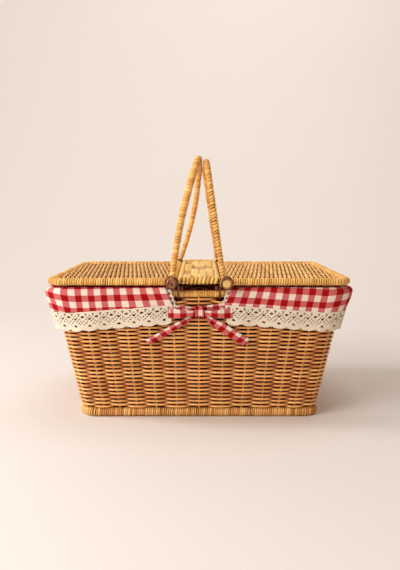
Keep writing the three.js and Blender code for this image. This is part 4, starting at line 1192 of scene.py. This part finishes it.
class BASKET_OT_tie_bows(bpy.types.Operator):
    """Tie the gingham bows over the middle gaps"""
    bl_idname = "basket.tie_bows"
    bl_label = "Tie Bows"

    def execute(self, context):
        out = Vector((0, -1, 0))
        slope = math.atan(wall_slope(out))
        clear = 0.4
        face = RIM_DEPTH / 2 + wall_middle(out, KNOT_HEIGHT) + WALL_HALF + COLUMN_BULGE + clear
        seat = Matrix.Translation((0, -face, KNOT_HEIGHT)) @ Matrix.Rotation(slope, 4, "X")
        for end, turn in (("front", 0.0), ("back", math.pi)):
            stand = Matrix.Rotation(turn, 4, "Z") @ seat
            for side_name, side in SIDES.items():
                far = f"{end}_{side_name}"
                self.ribbon(f"loop_{far}", stand, self.loop(side), across=12, along=40, width=14, length=88,
                            held="folded", drop=self.loop_run(side))
                self.ribbon(f"tail_{far}", stand, self.tail(side), across=10, along=36, width=13, length=80,
                            held="hung")
                self.ribbon(f"strap_{far}", stand, self.strap(side), across=8, along=24, width=12, length=44,
                            held="gathered")
            self.ribbon(f"knot_{end}", stand, self.knot, across=16, along=32, width=20, length=44,
                        held="folded", closed=True)
        return {"FINISHED"}

    def ribbon(self, part, stand, place, across, along, width, length, held, closed=False, drop=None):
        mesh = cloth(part, across, along, width, length, place, closed, drop=drop)
        mesh.transform(stand)
        made = piece(f"ribbon_{part}", mesh, "gingham_cotton", "basket", "gingham", f"bow_{part}")
        area = thicken(made, RIBBON_THICKNESS * MM)

    def loop_reach(self, side, v):
        return 4 + (36 if side < 0 else 40) * (0.5 - 0.5 * math.cos(math.tau * v)) ** 0.8

    def loop_run(self, side):
        """How far along its ribbon a loop's point is."""
        tip = self.loop_reach(side, 0.5)
        return lambda u, v: self.loop_reach(side, v) if v < 0.5 else 2 * tip - self.loop_reach(side, v)

    def loop(self, side):
        """A drop-shaped loop: out along the front, round its tip and back behind."""
        def place(u, v):
            turn = math.tau * v
            reach = 0.5 - 0.5 * math.cos(turn)
            depth = 5.6 + 3.6 * math.sin(turn) * math.sin(math.pi * min(reach + 0.12, 1)) ** 0.5
            wide = mix(5.5, 13, min(1, 1.5 * reach))
            pleat = 0.7 * math.sin(2.5 * math.pi * u + 0.6) * (1 - reach)
            z = (u - 0.5) * wide - 1.2 * reach
            return Vector((side * self.loop_reach(side, v), -max(depth + pleat, 0.9), z))
        return place

    def tail(self, side):
        """A ribbon end that falls across the weave."""
        start = Vector((4, -4))
        end, breadth = (Vector((68, -43)), 8.5) if side < 0 else (Vector((63, -43.5)), 12.5)
        along = (end - start).normalized()
        edge = Vector((-along.y, along.x))

        def place(u, v):
            across = (u - 0.5) * mix(5, breadth, min(1, 2.2 * v))
            cut = 2.5 * (u - 0.5)
            spot = start.lerp(end, v) + edge * across + along * (cut * v)
            off = 1.1 + 1.6 * math.sin(math.pi * v) + 1.1 * math.sin(math.pi * (2.2 * v + u)) ** 2
            return Vector((side * spot.x, -off, spot.y))
        return place

    def strap(self, side):
        """The gathered band from the knot to the skirt's edge."""
        def place(u, v):
            x = mix(3, SKIRT_EDGE_X - 1, v)
            z = (mix(3, 6.5, v) + (u - 0.5) * mix(5, 7.5, v)) * (1 if side < 0 else 1.35)
            off = 1.2 + 0.8 * math.sin(3 * math.pi * u) ** 2 + 0.9 * math.sin(math.pi * v)
            return Vector((side * x, -off, z))
        return place

    def knot(self, u, v):
        """The wrap that binds the bow: a pinched band round its middle."""
        turn = math.tau * v
        pinch = 1 - 0.22 * math.cos(math.pi * (u - 0.5))
        crease = 0.35 * math.sin(5 * math.pi * u) * max(0.0, math.sin(turn / 2))
        x = (u - 0.5) * 11.5 * (1 - 0.12 * abs(math.cos(turn))) + 0.8
        depth = 5.2 + (4.2 * pinch + crease) * math.sin(turn)
        height = (8.8 * pinch + crease) * math.cos(turn) + 1.4
        return Vector((x, -max(depth, 0.8), height))


class BASKET_OT_set_stage(bpy.types.Operator):
    """Set the floor, the soft light and the camera"""
    bl_idname = "basket.set_stage"
    bl_label = "Set Stage"

    def execute(self, context):
        self.lay_floor(context)
        self.light(context.scene)
        data = bpy.data.cameras.new("camera")
        data.lens = LENS
        data.clip_start = 0.05
        camera = bpy.data.objects.new("camera", data)
        camera.location = CAMERA_PLACE
        camera.rotation_euler = (math.radians(90 + CAMERA_PITCH), 0, math.radians(CAMERA_YAW))
        context.scene.collection.objects.link(camera)
        context.scene.camera = camera
        return {"FINISHED"}

    def lay_floor(self, context):
        """A floor that curves up into a backdrop."""
        bm = bmesh.new()
        bmesh.ops.create_grid(bm, x_segments=1, y_segments=1, size=FLOOR_HALF)
        back = [e for e in bm.edges if all(v.co.y > 0 for v in e.verts)]
        for vert in back[0].verts:
            vert.co.y = BACKDROP_Y
        raised = bmesh.ops.extrude_edge_only(bm, edges=back)["geom"]
        bmesh.ops.translate(
            bm, verts=[g for g in raised if isinstance(g, bmesh.types.BMVert)], vec=(0, 0, BACKDROP_HEIGHT))
        bmesh.ops.bevel(
            bm, geom=back, offset=BACKDROP_BEND, segments=24, profile=0.5, affect="EDGES", material=-1)
        bmesh.ops.recalc_face_normals(bm, faces=bm.faces)
        floor = bpy.data.objects.new("floor", smooth_mesh(bm, "floor"))
        context.scene.collection.objects.link(floor)
        floor.data.materials.append(finish("painted_board"))

    def light(self, scene):
        world = bpy.data.worlds.new("studio")
        world.use_nodes = True
        tree = world.node_tree
        lit = tree.nodes["Background"]
        link(tree, lit, {"Color": AMBIENT, "Strength": AMBIENT_STRENGTH})
        # Past the floor's edge the camera and glossy surfaces see the backdrop's pale tone
        pale = add(tree, "ShaderNodeBackground", {"Color": PALE_BACKGROUND, "Strength": 1.0})
        rays = add(tree, "ShaderNodeLightPath").outputs
        seen = add(tree, "ShaderNodeMath", {
            0: rays["Is Camera Ray"], 1: rays["Is Glossy Ray"],
        }, operation="ADD")
        seen = add(tree, "ShaderNodeMath", {
            0: seen, 1: rays["Is Transmission Ray"],
        }, operation="ADD", use_clamp=True)
        shown = add(tree, "ShaderNodeMixShader", {0: seen, 1: lit, 2: pale})
        link(tree, tree.nodes["World Output"], {"Surface": shown})
        scene.world = world
        for name, spot, aim, width, power, spread in LAMPS:
            data = bpy.data.lights.new(name, "AREA")
            data.size = width
            data.energy = power
            data.spread = math.radians(spread)
            data.color = LAMP_COLOUR
            lamp = bpy.data.objects.new(name, data)
            lamp.location = spot
            lamp.rotation_euler = (Vector(aim) - Vector(spot)).to_track_quat("-Z", "Y").to_euler()
            scene.collection.objects.link(lamp)
        scene.view_settings.view_transform = "Standard"


class BASKET_PT_panel(bpy.types.Panel):
    """Lists the basket's pieces, sizes and colours"""
    bl_idname = "BASKET_PT_panel"
    bl_label = "Picnic Basket"
    bl_space_type = "VIEW_3D"
    bl_region_type = "UI"
    bl_category = "Basket"

    def draw(self, context):
        for operator in OPERATORS:
            self.layout.operator(operator.bl_idname)
        for group in (context.scene.basket_sizes, context.scene.basket_colours):
            box = self.layout.box()
            for key in group.__annotations__:
                box.prop(group, key)


OPERATORS = (
    BASKET_OT_weave_wall,
    BASKET_OT_bind_borders,
    BASKET_OT_weave_base,
    BASKET_OT_lay_bridge,
    BASKET_OT_weave_lids,
    BASKET_OT_bind_handles,
    BASKET_OT_bend_wires,
    BASKET_OT_sew_liner,
    BASKET_OT_sew_lace,
    BASKET_OT_tie_bows,
    BASKET_OT_set_stage,
)
CLASSES = (BasketSizes, BasketColours, *OPERATORS, BASKET_PT_panel)


def register():
    for cls in CLASSES:
        bpy.utils.register_class(cls)
    bpy.types.Scene.basket_sizes = bpy.props.PointerProperty(type=BasketSizes)
    bpy.types.Scene.basket_colours = bpy.props.PointerProperty(type=BasketColours)


def unregister():
    del bpy.types.Scene.basket_colours
    del bpy.types.Scene.basket_sizes
    for cls in reversed(CLASSES):
        bpy.utils.unregister_class(cls)


def main():
    register()
    bpy.ops.basket.weave_wall()
    bpy.ops.basket.bind_borders()
    bpy.ops.basket.weave_base()
    bpy.ops.basket.lay_bridge()
    bpy.ops.basket.weave_lids()
    bpy.ops.basket.bind_handles()
    bpy.ops.basket.bend_wires()
    bpy.ops.basket.sew_liner()
    bpy.ops.basket.sew_lace()
    bpy.ops.basket.tie_bows()
    bpy.ops.basket.set_stage()


if __name__ == "__main__":
    main()
